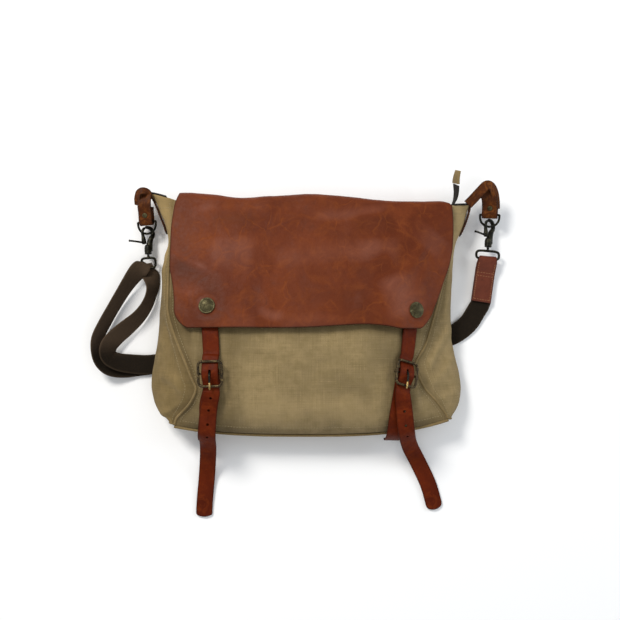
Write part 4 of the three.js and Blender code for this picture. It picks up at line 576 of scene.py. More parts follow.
pieces = {}
nU, nT = ((190, 160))
uu = np.linspace(-1, 1, nU); tt = np.linspace(0, 1, nT)
tt = tt - 0.035 * np.sin(2 * np.pi * tt)
U, T = np.meshgrid(uu * 0.9965, np.clip(tt, 0, 1) * 0.995)
G = front(U, T)
near_edge = np.minimum((1 - np.abs(U)) * 170, np.minimum(T * 280, (1 - T) * 300))
sx = np.minimum(np.abs(G[..., 0] - STRAPX["left"](G[..., 1])), np.abs(G[..., 0] - STRAPX["right"](G[..., 1])))
strap_zone = smooth((sx - 11) / 9)
d = wrinkles(G, 3.0) + rolls(G, [(-150, 20, -128, -96, 4.5, 1.7), (-136, -96, -160, -140, 4.0, 1.6), (144, 0, 128, -78, 4.5, 1.9), (128, -80, 138, -126, 4.2, 1.9), (96, -70, 84, -150, 9, 1.1), (-92, -70, -86, -150, 9, 1.0), (-60, -44, 60, -52, 13, 0.8), (-20, -120, 70, -128, 12, 0.9), (0, -70, 90, -96, 12, 0.7)])
d = np.clip(d, -2.4, 2.0); d = np.where(strap_zone < 1, lerp(np.minimum(d, 0.05), d, strap_zone), d)
d = np.where(G[..., 1] > -40, np.minimum(d, 0.9), d) * smooth(near_edge / 7)
# shade_and_dirt on the front: painted shade in the wrinkle hollows, around the closure straps and in the folds at the
# lower left and right, a painted shadow under the flap's edge, and a darker band along the seams
shade_and_dirt = np.clip(bump(near_edge, 4, 5) * 0.55 + (1 - smooth((sx - 8) / 9)) * 0.35 * (G[..., 1] < -24) + 0.55 * smooth((G[..., 1] + 40) / 12) * (np.abs(G[..., 0]) < 170) + 0.42 * bump(G[..., 0], -146, 15) * smooth((-20 - G[..., 1]) / 20) + 0.12 * bump(G[..., 0], 128, 12) * smooth((-40 - G[..., 1]) / 20) + 0.30 * bump(d, -1.6, 0.8), 0, 1)
# painted shadow beside the left and right closure straps
shade_and_dirt += 0.42 * bump(G[..., 0] - STRAPX["left"](G[..., 1]), 25, 11) * smooth((-20 - G[..., 1]) / 16) + 0.20 * bump(G[..., 0] - STRAPX["right"](G[..., 1]), -17, 9) * smooth((-30 - G[..., 1]) / 16)
# lighter over the lower middle: negative values lighten the cloth
shade_and_dirt -= 0.24 * smooth((-96 - G[..., 1]) / 26) * (1 - smooth((np.abs(G[..., 0]) - 60) / 40)) * smooth(near_edge / 8)
body, Gf, Nf = slab("body_front_canvas", G, CANVAS, 0, vec(0, 0, 1), canvas, d, attrs={"shade_and_dirt": shade_and_dirt})
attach(body, "bag"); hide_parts("front_panel")

for side, sname in ((-1, "left"), (1, "right")):
    A, T = np.meshgrid(np.linspace(0.0, 0.992, 64), np.clip(tt, 0, 1) ** 1.0 * 0.99)
    G = gusset(side, A, T)
    d = wrinkles(G, 11.0 + side, 1.1)
    if side < 0: d += rolls(G, [(-186, 60, -160, -40, 5, 1.9), (-176, -10, -150, -84, 5, 2.2), (-182, -84, -150, -104, 6, 2.2), (-184, -128, -152, -122, 4.5, 1.8), (-186, 110, -176, 60, 4, 1.4)])
    else: d += rolls(G, [(186, 90, 172, -10, 5, 1.8), (178, -20, 150, -82, 5, 2.2), (182, -62, 148, -96, 6, 2.2), (184, -100, 156, -122, 6, 2.0), (150, -80, 162, -136, 4, 1.5)])
    edge = np.minimum(np.minimum(A * 60, (1 - A) * 60), np.minimum(T * 290, (1 - T) * 290))
    d = np.clip(d, -3.2, 1.6) * smooth(edge / 8) * smooth(G[..., 2] / 16)
    # shade_and_dirt on the gussets: darker along the front seam and the bottom edge, painted shade low down towards the
    # floor and in the wrinkle hollows, lighter on the ridges
    shade_and_dirt = np.clip(bump(A * 60, 0, 6) * 0.75 + 0.35 * smooth((28 - G[..., 2]) / 26) * smooth(T / 0.3) + bump((1 - T) * 290, 0, 6) * 0.5 - d * 0.10, 0, 1)
    # painted light towards the top hem, strongest on the left gusset
    shade_and_dirt -= (0.62 if side < 0 else 0.36) * smooth((0.36 - T) / 0.14) + (0.0 if side < 0 else 0.08)
    # the left gusset gets the darker copy of the canvas (painted shade)
    g, Gg, Ng = slab(f"body_gusset_{sname}", G, CANVAS, 0, vec(side, 0, 0.5), canvas_shaded if side < 0 else canvas, d, attrs={"shade_and_dirt": shade_and_dirt})
    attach(g, "bag"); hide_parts(f"gusset_{sname}"); pieces[sname] = (Gg, Ng, A, T)
    # welt along the front seam
    t = np.linspace(0.0, 0.992, 240); P = front(np.full(t.shape, float(side)), t); P = P + unit(vec(side * 0.8, 0, 0.5)) * 0.2
    w = tube(f"welt_{sname}", P, 1.75, canvas_edge, sides=10)
    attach(w, "bag")
    # points along the gusset's top hem; nothing is built from them
    a = np.linspace(0.03, 0.97, 60); Hm = gusset(side, a, np.full(a.shape, 0.004)); n0 = gusset(side, a, np.full(a.shape, 0.05)) - Hm
    rows = np.concatenate([Hm + unit(n0) * 4.2 + unit(np.cross(np.gradient(Hm, axis=0), n0)) * (0), unit(n0)], 1)
    # stitch rows: beside the welt on both panels, and along the hem
    i = int(np.argmin(np.abs(uu - side * (1 - 4.6 / 165)))); s1 = (Gf[4:-3, i], Nf[4:-3, i])
    j = int(np.argmin(np.abs(A[0] - 0.075))); s2 = (Gg[3:-3, j], Ng[3:-3, j])
    k = int(np.argmin(np.abs(T[:, 0] - 0.035))); s3 = (Gg[k, 3:-3], Ng[k, 3:-3]); k2 = int(np.argmin(np.abs(T[:, 0] - 0.022)))
    s = stitches(f"seam_stitching_{sname}", [s1, s2, s3], thread, pitch=3.6, length=2.5, r=0.33)
    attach(s, "bag")
    a = np.linspace(0.10, 0.60, 40); Z = gusset(side, a, np.full(a.shape, 0.0)); Z = Z + vec(0, 1.5, 0.2)
    zw, *_z = band(f"zip_wing_{sname}", np.concatenate([Z, np.tile(vec(0, 0.35, 1), (40, 1))], 1), 3.2, 1.4, zip_cloth, n=60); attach(zw, "bag")
u = np.linspace(0.0, 1, 150); A, Ub = np.meshgrid(np.linspace(0.02, 0.985, 24), u); G = bottom(Ub, A)
for side, sname in ((-1, "left"), (1, "right")):   # the ends meet the gussets in a corner seam
    end = gusset(side, A, np.full(A.shape, 0.99)) - bottom(np.full(A.shape, 0.0 if side < 0 else 1.0), A)
    G = G + end * smooth(1 - (Ub if side < 0 else 1 - Ub) / 0.05)[..., None]
    ac = np.linspace(0.0, 0.97, 60); w = tube(f"welt_corner_{sname}", gusset(side, ac, np.full(ac.shape, 0.99)), 1.15, canvas_edge, sides=10)
    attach(w, "bag")
d = np.clip(wrinkles(G, 21.0, 0.8), -2.0, 0.6) * smooth(np.minimum(A, 1 - A) * 8) * smooth(np.minimum(Ub, 1 - Ub) * 20)
# painted shade under the bag: the bottom takes the darker canvas copy and is darkened throughout, more towards the back
bt, Gb, Nb = slab("body_bottom_canvas", G, CANVAS, 0, vec(0, -1, 0), canvas_shaded, d, attrs={"shade_and_dirt": np.full(A.shape, 0.25) + 0.3 * (A > 0.6)})
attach(bt, "bag"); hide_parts("bottom_gusset")
x = np.linspace(-165.4, 173.8, 300); P = np.stack([x, yBottom(x) - 0.4, np.full(x.shape, 34.0)], -1)
w = tube("welt_bottom", P, 1.7, canvas_edge, sides=10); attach(w, "bag")
s = stitches("bottom_stitching", [(Gf[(-6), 4:-4], Nf[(-6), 4:-4]), (Gb[4:-4, 3], Nb[4:-4, 3])], thread, pitch=3.6, length=2.5, r=0.33)
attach(s, "bag")
Ub, Tb = np.meshgrid(np.linspace(0, 1, 70), np.linspace(0, 1, 90)); G = back(Ub, Tb)
G[..., 2] += 1.0 - 0.0
G[..., 2] += np.clip(fbm(G.reshape(-1, 3), 1 / 40, 2, 9).reshape(Ub.shape) * 0.5, 0, 0.5) * 0
# shade_and_dirt on the back: darker overall and towards the side edges
bk, Gk, Nk = slab("body_back_canvas", G, 0.98, 0.8, vec(0, 0, 1), canvas, None, attrs={"shade_and_dirt": 0.2 + 0.3 * bump(np.minimum(Ub, 1 - Ub) * 300, 0, 8)})
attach(bk, "bag"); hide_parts("back_panel")
LOWB = G - vec(0, 0, 1) * 0.98
s = stitches("back_stitching", [(LOWB[3:-3, 2] + vec(0, 0, 0.22), np.tile(vec(0, 0, -1), (84, 1))), (LOWB[3:-3, -3] + vec(0, 0, 0.22), np.tile(vec(0, 0, -1), (84, 1))), (LOWB[-3, 3:-3] + vec(0, 0, 0.22), np.tile(vec(0, 0, -1), (64, 1)))], thread, pitch=3.8, length=2.6, r=0.3, sink=0.0)
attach(s, "bag")

# ---------------------------------------------------------------- flap
nF = 230
u = np.linspace(0, 1, nF); u = u - 0.02 * np.sin(2 * np.pi * u)
vc = np.linspace(0, 1, 60)[:-1]; vf = 1 - (1 - np.linspace(0, 1, 150)) ** 1.45
Gc = crown(*np.meshgrid(u, vc)); ins = 4.5 * np.sin(np.pi * np.clip((vc - 0.15) / 0.85, 0, 1))[:, None]; Gc[..., 0] += ins * (1 - 2 * u[None, :]) ** 3; Gc[..., 1] -= 3.0 * np.sin(np.pi * np.clip((vc - 0.2) / 0.8, 0, 1))[:, None] * np.abs(1 - 2 * u[None, :]) ** 30; Gp = flapPoint(*np.meshgrid(u, vf * 0.9962)); G = np.concatenate([Gc, Gp])
for _ in range(3): G[1:-1] = G[1:-1] * 0.5 + (G[:-2] + G[2:]) * 0.25
STUDS = {"left": (-122, -1.5), "right": (132, -5)}
X, Y = G[..., 0], G[..., 1]
P = G.reshape(-1, 3)
d = (fbm(P, 1 / 60, 3, 31) * 1.3 + fbm(P * [1, 0.35, 1], 1 / 20, 2, 37) * 0.30).reshape(X.shape)
d += rolls(G, [(-150, 60, -96, 34, 9, 0.9), (40, 96, 120, 80, 14, 0.7), (150, 80, 96, 10, 9, 1.5), (150, 50, 120, -14, 7, 1.1), (60, 10, 90, -20, 8, 0.9), (-60, 30, -30, -22, 9, 0.7), (-20, 60, 60, 66, 12, 0.6), (-100, 110, 0, 116, 7, 0.8), (20, 112, 120, 118, 6, 0.7), (-146, 16, -130, -18, 6, 0.7)])
hem = smooth((4 - Y) / 30) * (G[..., 2] > 50)
d += hem * (0.9 * np.sin(X / 17.0 + 0.6) + 0.5 * np.sin(X / 7.3) * bump(X, 30, 60))
for sx_, sy_ in STUDS.values():
    r_ = np.hypot(X - sx_, Y - sy_); d = d * smooth((r_ - 10) / 16) - 0.55 * bump(r_, 13.5, 3.5)
d = np.clip(d, -2.1, 2.4)
row = np.arange(G.shape[0])[:, None] / len(vc)
d = d * smooth((row - 0.10) / 0.5)
# painted shade and painted sheen on the flap: positive values darken (the fold below the left stud, patches near the
# top), negative values lighten towards a pale sheen tone (fold highlights, the lower-right sheen)
shade = rolls(G, [(-168, 46, -104, 22, 12, 0.50), (-172, 76, -126, 42, 4, -0.30), (-120, 108, -66, 106, 20, 0.34), (60, 100, 110, 104, 16, 0.22), (100, 60, 60, 40, 12, 0.20), (10, 116, 100, 122, 8, -0.16), (-150, 120, -60, 128, 7, -0.14), (-40, 60, 60, 66, 14, -0.10), (100, 36, 116, -14, 24, -0.26), (150, 70, 168, 90, 20, -0.14), (-60, -6, -30, -14, 7, -0.20), (-96, 8, 80, 6, 16, 0.12)])
# painted shade along the left edge and in a ring around the left stud
shade = shade + 0.34 * smooth((-128 - X) / 34) + 0.30 * bump(r_ * 0 + np.hypot(X + 122, Y + 1.5), 17, 7)
flap, Gl, Nl = slab("flap_leather", G, 1.0, 1.0, vec(0, 0.2, 1), flap_leather, d, rim=0.32, attrs={"shade": np.clip(shade, -0.7, 0.8)})
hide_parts("flap_front", "flap_crown")
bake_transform(flap)
for sname, (sx_, sy_) in STUDS.items():
    c = vec(sx_, sy_, float(flapZ(vec(sx_), vec(sy_))[0])); n = flapNormal(vec(sx_), vec(sy_))[0]; o = 1.35
    cap = lathe(f"press_stud_cap_{sname}", [(0, o - 0.1), (9.3, o - 0.1), (9.9, o + 0.15), (10.0, o + 0.5), (9.85, o + 0.85), (9.4, o + 1.05), (8.95, o + 1.0), (8.6, o + 0.92), (8.2, o + 1.15), (7.2, o + 1.75), (6.0, o + 2.25), (4.4, o + 2.75), (2.6, o + 3.1), (1.2, o + 3.25), (0, o + 3.28)], c, n, brass)
    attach(cap, "flap_front"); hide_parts(f"snap_cap_{sname}")
s = stitches("flap_seam_stitching", [(Gl[5, 4:-4] + Nl[5, 4:-4] * 1.0, Nl[5, 4:-4])], thread_dark, pitch=4.2, length=3.0, r=0.36)
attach(s, "flap_crown")

# ---------------------------------------------------------------- closure straps, anchors, buckles
CL = {
    "left": dict(top=[(-121, 16), (-119.5, -12), (-117.5, -36), (-116, -58)], buckle=(-115.3, -82.5), turn=1 * DEG, tail=[(-118, -126), (-121.5, -150), (-123.5, -172), (-127, -205), (-130, -240), (-130.5, -259)], anchor=(-126, -158)),
    "right": dict(top=[(128, 14), (126, -12), (123, -34), (119.5, -58)], buckle=(114, -84), turn=-14 * DEG, tail=[(113.5, -122), (119, -146), (126, -168), (139, -192), (152, -220), (160, -250)], anchor=(104, -158)),
}
for sname, c in CL.items():
    bx, by = c["buckle"]; n = frontNormal(vec(bx), vec(by))[0]
    d0 = vec(math.sin(c["turn"]), -math.cos(c["turn"]), 0); down = unit(d0 - n * np.dot(d0, n)); over = -unit(np.cross(down, n))
    base = vec(bx, by, float(frontZ(vec(bx), vec(by))[0]))
    at = lambda a, dd, h: base + over * a + down * dd + n * h
    loop = []
    for sx_, sy_, q0 in ((1, 1, 0), (-1, 1, 90), (-1, -1, 180), (1, -1, 270)):
        for k in range(7):
            q = (q0 + k * 15) * DEG; loop.append(at(sx_ * 9.3 + 5 * math.cos(q), sy_ * 9.8 + 5 * math.sin(q), 11.6))
    f = tube(f"buckle_wire_{sname}", loop, 1.62, bronze_wire, sides=16, closed=True, n=240, ribs=(2.35, 0.075))
    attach(f, f"buckle_frame_{sname}"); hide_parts(f"buckle_frame_{sname}")
    ts = np.linspace(-15.6, 15.6, 60); rr = 1.25 + 0.62 * (bump(np.abs(ts), 14.8, 1.0)); rr[0] = rr[-1] = 0.9
    b = tube(f"buckle_crossbar_{sname}", [at(t_, 0, 8.0) for t_ in ts], np.minimum(rr, 1.28 + 0.5 * (np.abs(ts) > 13.7)), bronze_wire, sides=14)
    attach(b, "bag"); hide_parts(f"buckle_bar_{sname}")
    z0 = 8.0
    tg = spline([at(0, 0.2, z0 - 2.95), at(0, -2.2, z0 - 2.1), at(0, -3.0, z0), at(0, -2.6, z0 + 2.6), at(0, -0.6, z0 + 5.6), at(0, 2.6, z0 + 7.0), at(0, 8, z0 + 7.2), at(0, 14.8, z0 + 6.85), at(0, 19.2, z0 + 6.4)])(np.linspace(0, 1, 60))
    rr = np.full(60, 1.22); rr[-6:] = [1.15, 1.05, 0.95, 0.8, 0.6, 0.3]; rr[:3] = [0.6, 1.0, 1.15]
    p = tube(f"prong_{sname}", tg, rr, bronze, sides=12)
    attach(p, f"buckle_prong_{sname}"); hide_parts(f"buckle_prong_{sname}")
    pt_ = tube(f"prong_tip_{sname}", tg[-13:] + n * 0.12, np.interp(np.linspace(0, 1, 13), [0, 0.6, 0.9, 1], [1.3, 1.3, 0.95, 0.45]), bright_brass, sides=14)
    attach(pt_, f"buckle_prong_{sname}")
    # one strap: from under the flap through the buckle to the loose end
    top = []
    for x_, y_ in c["top"]:
        m = frontNormal(vec(x_), vec(y_))[0]; o = 1.6 + (0 if y_ > -30 else 1.8 if sname == "right" and y_ < -50 else 0.8)
        top.append(vec(x_, y_, float(frontZ(vec(x_), vec(y_))[0])) + m * o)
    mids = [at(0, -21, 6.4 if sname == "right" else 4.8), at(0, -15, 7.6), at(0, -9, 10.1), at(0, -4, 12.0), at(0, 0, 12.4), at(0, 4, 11.6), at(0, 9.4, 8.4), at(0, 14.5, 7.0), at(0, 17.4, 7.0)]
    path = spline(top + mids); rows = []
    for i in range(61):
        s_ = i / 60; p_ = path(s_)[0]; m = frontNormal(vec(p_[0]), vec(p_[1]))[0]; k = float(smooth((p_[1] - by - 10) / 14)); nn = unit(lerp(n, m, k))
        q = path(min(1, s_ + 0.01))[0]; q0 = path(max(0, s_ - 0.01))[0]; rows.append(np.concatenate([p_, unit(np.cross(unit(q - q0), nn))]))
    tp = [at(0, 20.8, 7.0), at(0, 25, 7.2)]
    for i, (x_, y_) in enumerate(c["tail"]):
        if i == 0: m = frontNormal(vec(x_), vec(y_))[0]; tp.append(vec(x_, y_, float(frontZ(vec(x_), vec(y_))[0])) + m * 7.4)
        else: tp.append(vec(x_, y_ - (6 if i == 1 else 2 if i == 2 else 0), [0, 60, 30, 7.0, 2.4, 1.9][i]))
    tl = spline(tp); wid = [STRAP_W] * 61; sgn = 1
    w_prev = rows[-1][3:6]
    for i in range(1, 91):
        s_ = i / 90; p_ = tl(s_)[0]; t = unit(tl(min(1, s_ + 0.01))[0] - tl(max(0, s_ - 0.01))[0])
        flat = unit(np.cross(t, unit(vec(n[0] * (1 - float(smooth(s_ * 2.6))), 0, 1)))); k = float(smooth(s_ * 3))
        sign = -1 if flat[0] * over[0] + flat[1] * over[1] < 0 else 1; w = unit(lerp(over, sign * flat, k))
        if t[2] < -0.7: w = unit(vec(w[0], w[1], 0))
        if np.dot(w, w_prev) < 0: w = -w
        w_prev = w
        tip = max(0, (s_ - 0.955) / 0.045); rows.append(np.concatenate([p_, w])); wid.append(STRAP_W * math.sqrt(max(0.05, 1 - tip * tip * 0.95)))
    if np.dot(rows[60][3:6], rows[61][3:6]) < 0:
        for k in range(61): rows[k][3:6] *= -1
    st, SP, SW, SN, SL = band(f"closure_strap_leather_{sname}", rows, STRAP_W, STRAP_T, strap_leather, n=320, dome=0.10, widths=wid)
    if SN[10][2] < 0: SN = -SN
    i0 = int(np.argmin(np.linalg.norm(SP - at(0, 0, 12.4), axis=1))); holes = [(SP[i0] - (SP[i0 + 1] - SP[i0 - 1]) * 0.0 + unit(down) * -1.6, n, (1.55, 3.5, over, down), 3.4)]
    Lb = SL[i0]
    for k in (31, 48, 65, 82):
        if sname == "right" and k < 40: continue
        i = int(np.argmin(np.abs(SL - (Lb + k - 0.5)))); nn = unit(np.cross(SW[i], unit(SP[i + 1] - SP[i - 1]))); holes.append((SP[i], nn, 1.55, 2.2))
    cut(st, holes)
    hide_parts(f"closure_strap_{sname}", f"closure_tail_{sname}")
    tuple(at(0, 17.6, 7) / 1000)
    tuple(at(0, 24.5, 7) / 1000)
    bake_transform(st)
    # anchor strap
    ax, ay = c["anchor"]; am = frontNormal(vec((ax + bx) / 2), vec(-126.0))[0]; fz = lambda x_, y_: float(frontZ(vec(x_), vec(y_))[0])
    ap = spline([vec(ax, ay - 3.2, 20), vec(ax, ay - 4.4, 34), vec(ax + (bx - ax) * 0.15, ay + 4, 51.5), vec(ax + (bx - ax) * 0.35, -133, fz(ax, -133.0) + 3.9),
                 vec((ax + bx) / 2, -118, fz((ax + bx) / 2, -118.0)) + am * 2.2, at(0, 15, 2.2), at(0, 6, 2.6), at(0, 0.5, z0 - 5.4), at(0, -4.2, z0 - 3.6), at(0, -5.8, z0 - 0.6), at(0, -5.0, z0 + 1.4)])
    ar = []
    for i in range(81):
        s_ = i / 80; k = float(smooth(s_ * 2)); w = over if s_ > 0.5 else unit(vec(lerp(1, over[0], k), lerp(0, over[1], k), lerp(0, over[2], k))); ar.append(np.concatenate([ap(s_)[0], w]))
    an, *_ = band(f"anchor_leather_{sname}", ar, STRAP_W - 1, 1.6, strap_leather, n=130, dome=0.05)
    cut(an, [(at(0, -4.5, z0 - 1), n, (1.8, 6.5, over, down), 6)])
    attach(an, "bag"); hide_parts(f"anchor_strap_{sname}")

# ---------------------------------------------------------------- tabs, rings, eyes
eyes = {}
for sname, s in {"left": dict(jaw=vec(-207.8, 101.5, 12.5), roll=40, tilt=14, yaw=-3), "right": dict(jaw=vec(234.8, 110.5, 13.5), roll=40, tilt=14, yaw=5)}.items():
    left = sname == "left"; r, yw = s["roll"] * DEG, s["yaw"] * DEG
    ya = vec(math.sin(yw), math.cos(yw), 0); xa0 = vec(math.cos(yw), -math.sin(yw), 0); za0 = vec(0, 0, 1)
    xa = xa0 * math.cos(r) - za0 * math.sin(r); za = xa0 * math.sin(r) + za0 * math.cos(r)
    local = lambda a, b, c_: s["jaw"] + xa * a + ya * b + za * c_
    tl = s["tilt"] * DEG; across = vec(math.cos(tl) * math.cos(yw), -math.cos(tl) * math.sin(yw), math.sin(tl))
    bow = local(0, -0.6, 0); out = unit(vec(0.02, -math.cos(24 * DEG), -math.sin(24 * DEG))); mid = bow - out * 15.5
    b0, b1 = mid - across * 12.3, mid + across * 12.3
    pts = [b0, (b0 + b1) / 2, b1] + [mid + (b1 - b0) / 2 * math.cos(q) + out * 15.5 * math.sin(q) ** 0.75 for q in np.arange(1, 24) / 24 * np.pi]
    dr = tube(f"dee_ring_{sname}", pts, 1.45, bronze, sides=16, closed=True, n=150)
    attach(dr, f"d_ring_{sname}"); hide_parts(f"d_ring_{sname}")
    up = -out; nrm = unit(np.cross(across, up))
    far = vec(-209, 149.5, 31) if left else vec(223.5, 154.5, 33.5); near = mid + up * 24 + nrm * 4.2 if left else vec(231, 145.5, 33.5)
    lp = spline([far, near, mid + up * 12 + nrm * 3.6, mid + up * 1 + nrm * 3.6, mid - up * 3.8, mid + up * 1 - nrm * 3.6, mid + up * 11 - nrm * 3.6, mid + up * 19 - nrm * 4.2])
    lean = across if left else unit(vec(0.84, 0.5, 0.1)); rows = []
    for q in np.linspace(0, 1, 90): rows.append(np.concatenate([lp(q)[0], unit(lerp(lean, across, float(smooth(q / 0.3))))]))
    W = 18.4 if left else 20
    tb, TP, TW, TN, TL = band(f"side_tab_leather_{sname}", rows, W, 2, tab_leather, n=150, dome=0.08)
    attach(tb, "bag"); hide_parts(f"side_tab_{sname}")
    sg = 1 if np.dot(TN[60], nrm) > 0 else -1
    runs = [(TP[8:-8] + TW[8:-8] * k * (W / 2 - 1.9) + TN[8:-8] * g * 1.02, TN[8:-8] * g) for k in (-1, 1) for g in (-1, 1)]
    ts = stitches(f"side_tab_stitching_{sname}", runs, thread_dark, pitch=3.3, length=2.3, r=0.3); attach(ts, "bag")
    rv = mid + up * 9.5
    rt = lathe(f"tab_rivet_cap_{sname}", [(0, 4.75), (3.0, 4.75), (3.25, 5.0), (3.2, 5.35), (2.7, 5.8), (1.8, 6.15), (0.9, 6.35), (0, 6.42)], rv, nrm, brass, sides=36)
    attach(rt, "bag"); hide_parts(f"tab_rivet_{sname}")
    sd = -1 if left else 1; al = []
    for t_ in (0.14, 0.1, 0.06, 0.03, 0.01):
        p_ = gusset(sd, 0.5, t_); al.append(vec(p_[0] + (-1.3 if left else 1.3), p_[1] + 1.2, p_[2]))
    al += [vec(-210, 153.5, 23.5), vec(-216, 154.5, 24)] if left else [vec(216, 146.5, 22.5), vec(219.5, 154.5, 24.5), vec(222, 161, 26.5)]
    sp = spline(al)(np.linspace(0, 1, 60)); rows = np.concatenate([sp, np.tile(vec(0, 0, 1), (60, 1))], 1)
    tsb, QP, QW, QN, QL = band(f"tab_strip_leather_{sname}", rows, 12, 1.8, tab_leather, n=80, dome=0.05)
    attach(tsb, "bag"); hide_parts(f"tab_strip_{sname}")
    g = 1 if np.dot(QN[20], vec(sd, 0, 0)) > 0 else -1
    q_ = stitches(f"tab_strip_stitching_{sname}", [(QP[4:-4] + QW[4:-4] * k * 4.3 + QN[4:-4] * g * 0.92, QN[4:-4] * g) for k in (-1, 1)], thread_dark, pitch=3.3, length=2.3, r=0.28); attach(q_, "bag")

    # leather wrap from the bag's corner over the top of the tab
    wp = [vec(-203.5, 144, 30), vec(-205, 149.5, 34), vec(-210.5, 151.5, 37.0), vec(-215.8, 149.5, 35.5), vec(-218.5, 143.5, 30), vec(-218.8, 136, 24)] if left else [vec(204, 134.5, 33), vec(211, 141.5, 37), vec(219.5, 150.5, 40.2), vec(227, 157.6, 40.6), vec(233.2, 157.0, 38.6), vec(238.0, 149.5, 34), vec(240.8, 139, 27), vec(241.5, 131, 22)]
    wpp = spline(wp)(np.linspace(0, 1, 60)); tg_ = unit(np.gradient(wpp, axis=0)); side_ = unit(np.cross(tg_, vec(0.25 * sd, 0.15, 1.0)))
    wr_, *_w = band(f"tab_wrap_{sname}", np.concatenate([wpp, side_], 1), 9.5 if left else 12.5, 1.9, tab_leather, n=110, dome=0.12)
    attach(wr_, "bag")
    # swivel eye
    drop = 6.5 if left else 5.4; wide = 9 if left else 14.6; zc = local(0, -31.6, 0); ny = unit(vec(0, -0.96, -0.28)); centre = zc + ny * (drop + 1.0)
    ov = []
    for k in range(48):
        q = k / 48 * 2 * math.pi; ov.append(centre + xa0 * np.sign(math.cos(q)) * abs(math.cos(q)) ** 0.4 * wide - ny * np.sign(math.sin(q)) * abs(math.sin(q)) ** 0.6 * drop)
    e1 = tube(f"swivel_ring_{sname}", ov, 1.6, bronze, sides=16, closed=True, n=140)
    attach(e1, "bag"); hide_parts(f"swivel_eye_{sname}")
    e2 = lathe(f"swivel_post_{sname}", [(0, -1.6), (2.5, -1.6), (2.9, -1.0), (2.7, -0.2), (1.9, 0.4), (1.6, 1.4), (1.6, 3.5), (0, 3.5)], zc, ya, bronze, sides=28)
    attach(e2, "bag")

    # cast hook: claw, barrel and knurled collar; gate with its thumb lever
    q_ = np.linspace(113, -52, 60) * DEG; claw = [local(7.7 * math.cos(q), 7.7 * math.sin(q), 0) for q in q_]
    claw += [local(a, b, 0) for a, b in ((3.9, -8.6), (2.7, -11.5), (2.1, -15.0), (1.8, -19.0), (1.2, -22.5))]
    rr = np.concatenate([np.interp(np.linspace(0, 1, 60), [0, 0.06, 0.3, 0.7, 1], [1.15, 1.5, 1.75, 1.95, 2.3]), [2.5, 2.7, 2.9, 3.1, 3.3]])
    k1 = tube(f"hook_claw_{sname}", claw, rr * 1.42, bronze, sides=18)
    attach(k1, f"hook_body_{sname}"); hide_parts(f"hook_body_{sname}")
    bp = [(0, -27.6), (3.6, -27.6), (4.3, -27.2), (4.6, -26.5), (4.6, -25.7), (4.2, -25.1), (4.8, -24.5), (4.3, -23.9), (4.9, -23.3), (4.4, -22.7), (5.0, -22.1), (4.5, -21.4), (4.8, -20.4), (4.6, -18.6), (4.2, -16.9), (3.4, -15.6), (0, -15.0)]
    k2 = lathe(f"hook_barrel_{sname}", bp, s["jaw"], ya, bronze, sides=36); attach(k2, f"hook_body_{sname}")
    q_ = np.linspace(121, 200, 26) * DEG; gp = [local(7.7 * math.cos(q), 7.7 * math.sin(q), 0) for q in q_] + [local(a, b, 0) for a, b in ((-6.6, -6.2), (-6.0, -9.6), (-5.6, -12.6), (-5.3, -14.6))]
    k3 = tube(f"hook_gate_arm_{sname}", gp, np.concatenate([np.interp(np.linspace(0, 1, 26), [0, 0.1, 1], [1.2, 1.7, 2.0]), [2.4, 2.9, 3.1, 2.6]]), bronze, sides=16)
    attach(k3, f"hook_gate_{sname}"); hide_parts(f"hook_gate_{sname}")
    lv = spline([local(-5.4, -12.9, 0), local(-9.5, -12.7, 0), local(-15, -12.4, 0), local(-21, -12.2, 0), local(-26.2, -12.2, 0), local(-27, -12.2, 0)])(np.linspace(0, 1, 40))
    k4 = tube(f"hook_lever_{sname}", lv, np.interp(np.linspace(0, 1, 40), [0, 0.2, 0.75, 0.9, 0.97, 1], [1.9, 1.35, 1.2, 1.6, 1.5, 0.8]), bronze, sides=12)
    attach(k4, f"hook_gate_{sname}")
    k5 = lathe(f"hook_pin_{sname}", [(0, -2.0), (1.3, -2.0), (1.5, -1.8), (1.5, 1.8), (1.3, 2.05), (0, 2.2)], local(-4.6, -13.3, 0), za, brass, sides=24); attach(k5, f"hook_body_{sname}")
    eyes[sname] = (centre + ny * drop, xa0)

# ---------------------------------------------------------------- shoulder strap
low, xa_ = eyes["right"]; dr_ = unit(vec(-8.7, -54, 0)); w_ = unit(vec(54, -8.7, 0))
Pn = lambda d_, h: vec(low[0] + dr_[0] * d_, low[1] + dr_[1] * d_, h)
sp = spline([Pn(56, 7.2), Pn(40, 7.2), Pn(20, 7.8), Pn(8, low[2] + 1.6), Pn(2, low[2] + 3.6), Pn(-1.4, low[2] + 3.2), Pn(-3.4, low[2]), Pn(-1.4, low[2] - 3.2), Pn(3, low[2] - 3.6), Pn(9, 3.4), Pn(20, 1.6), Pn(40, 1.5), Pn(56, 1.5)])
rows = []; wd = []
for s_ in np.linspace(0, 1, 140):
    k = min(1, abs(s_ - 0.5) * 4); w = unit(vec(lerp(xa_[0], w_[0], k), lerp(xa_[1], w_[1], k), 0)); rows.append(np.concatenate([sp(s_)[0], w])); wd.append(lerp(22, WEB_W, float(smooth(k * 1.2 - 0.1))))
et, EP, EW, EN, EL = band("strap_end_leather", rows, WEB_W, 1.7, end_leather, n=200, dome=0.06, widths=wd)
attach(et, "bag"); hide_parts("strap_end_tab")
runs = []
iu = [i for i in range(len(EL)) if 2.5 < EL[i] < 52]
g = 1 if EN[iu[3]][2] > 0 else -1
for k in (-1, 1): runs.append((EP[iu] + EW[iu] * k * 10.3 + EN[iu] * g * 0.88, EN[iu] * g))
for L_ in (3.0, 34.0, 38.0):
    i = int(np.argmin(np.abs(EL - L_))); q = np.linspace(-10.3, 10.3, 20)[:, None]; runs.append((EP[i] + EW[i] * q + EN[i] * g * 0.90, np.tile(EN[i] * g, (20, 1))))
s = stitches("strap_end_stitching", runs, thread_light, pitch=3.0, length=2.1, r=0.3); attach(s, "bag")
r_ = eyes["right"][0]; L = eyes["left"][0]
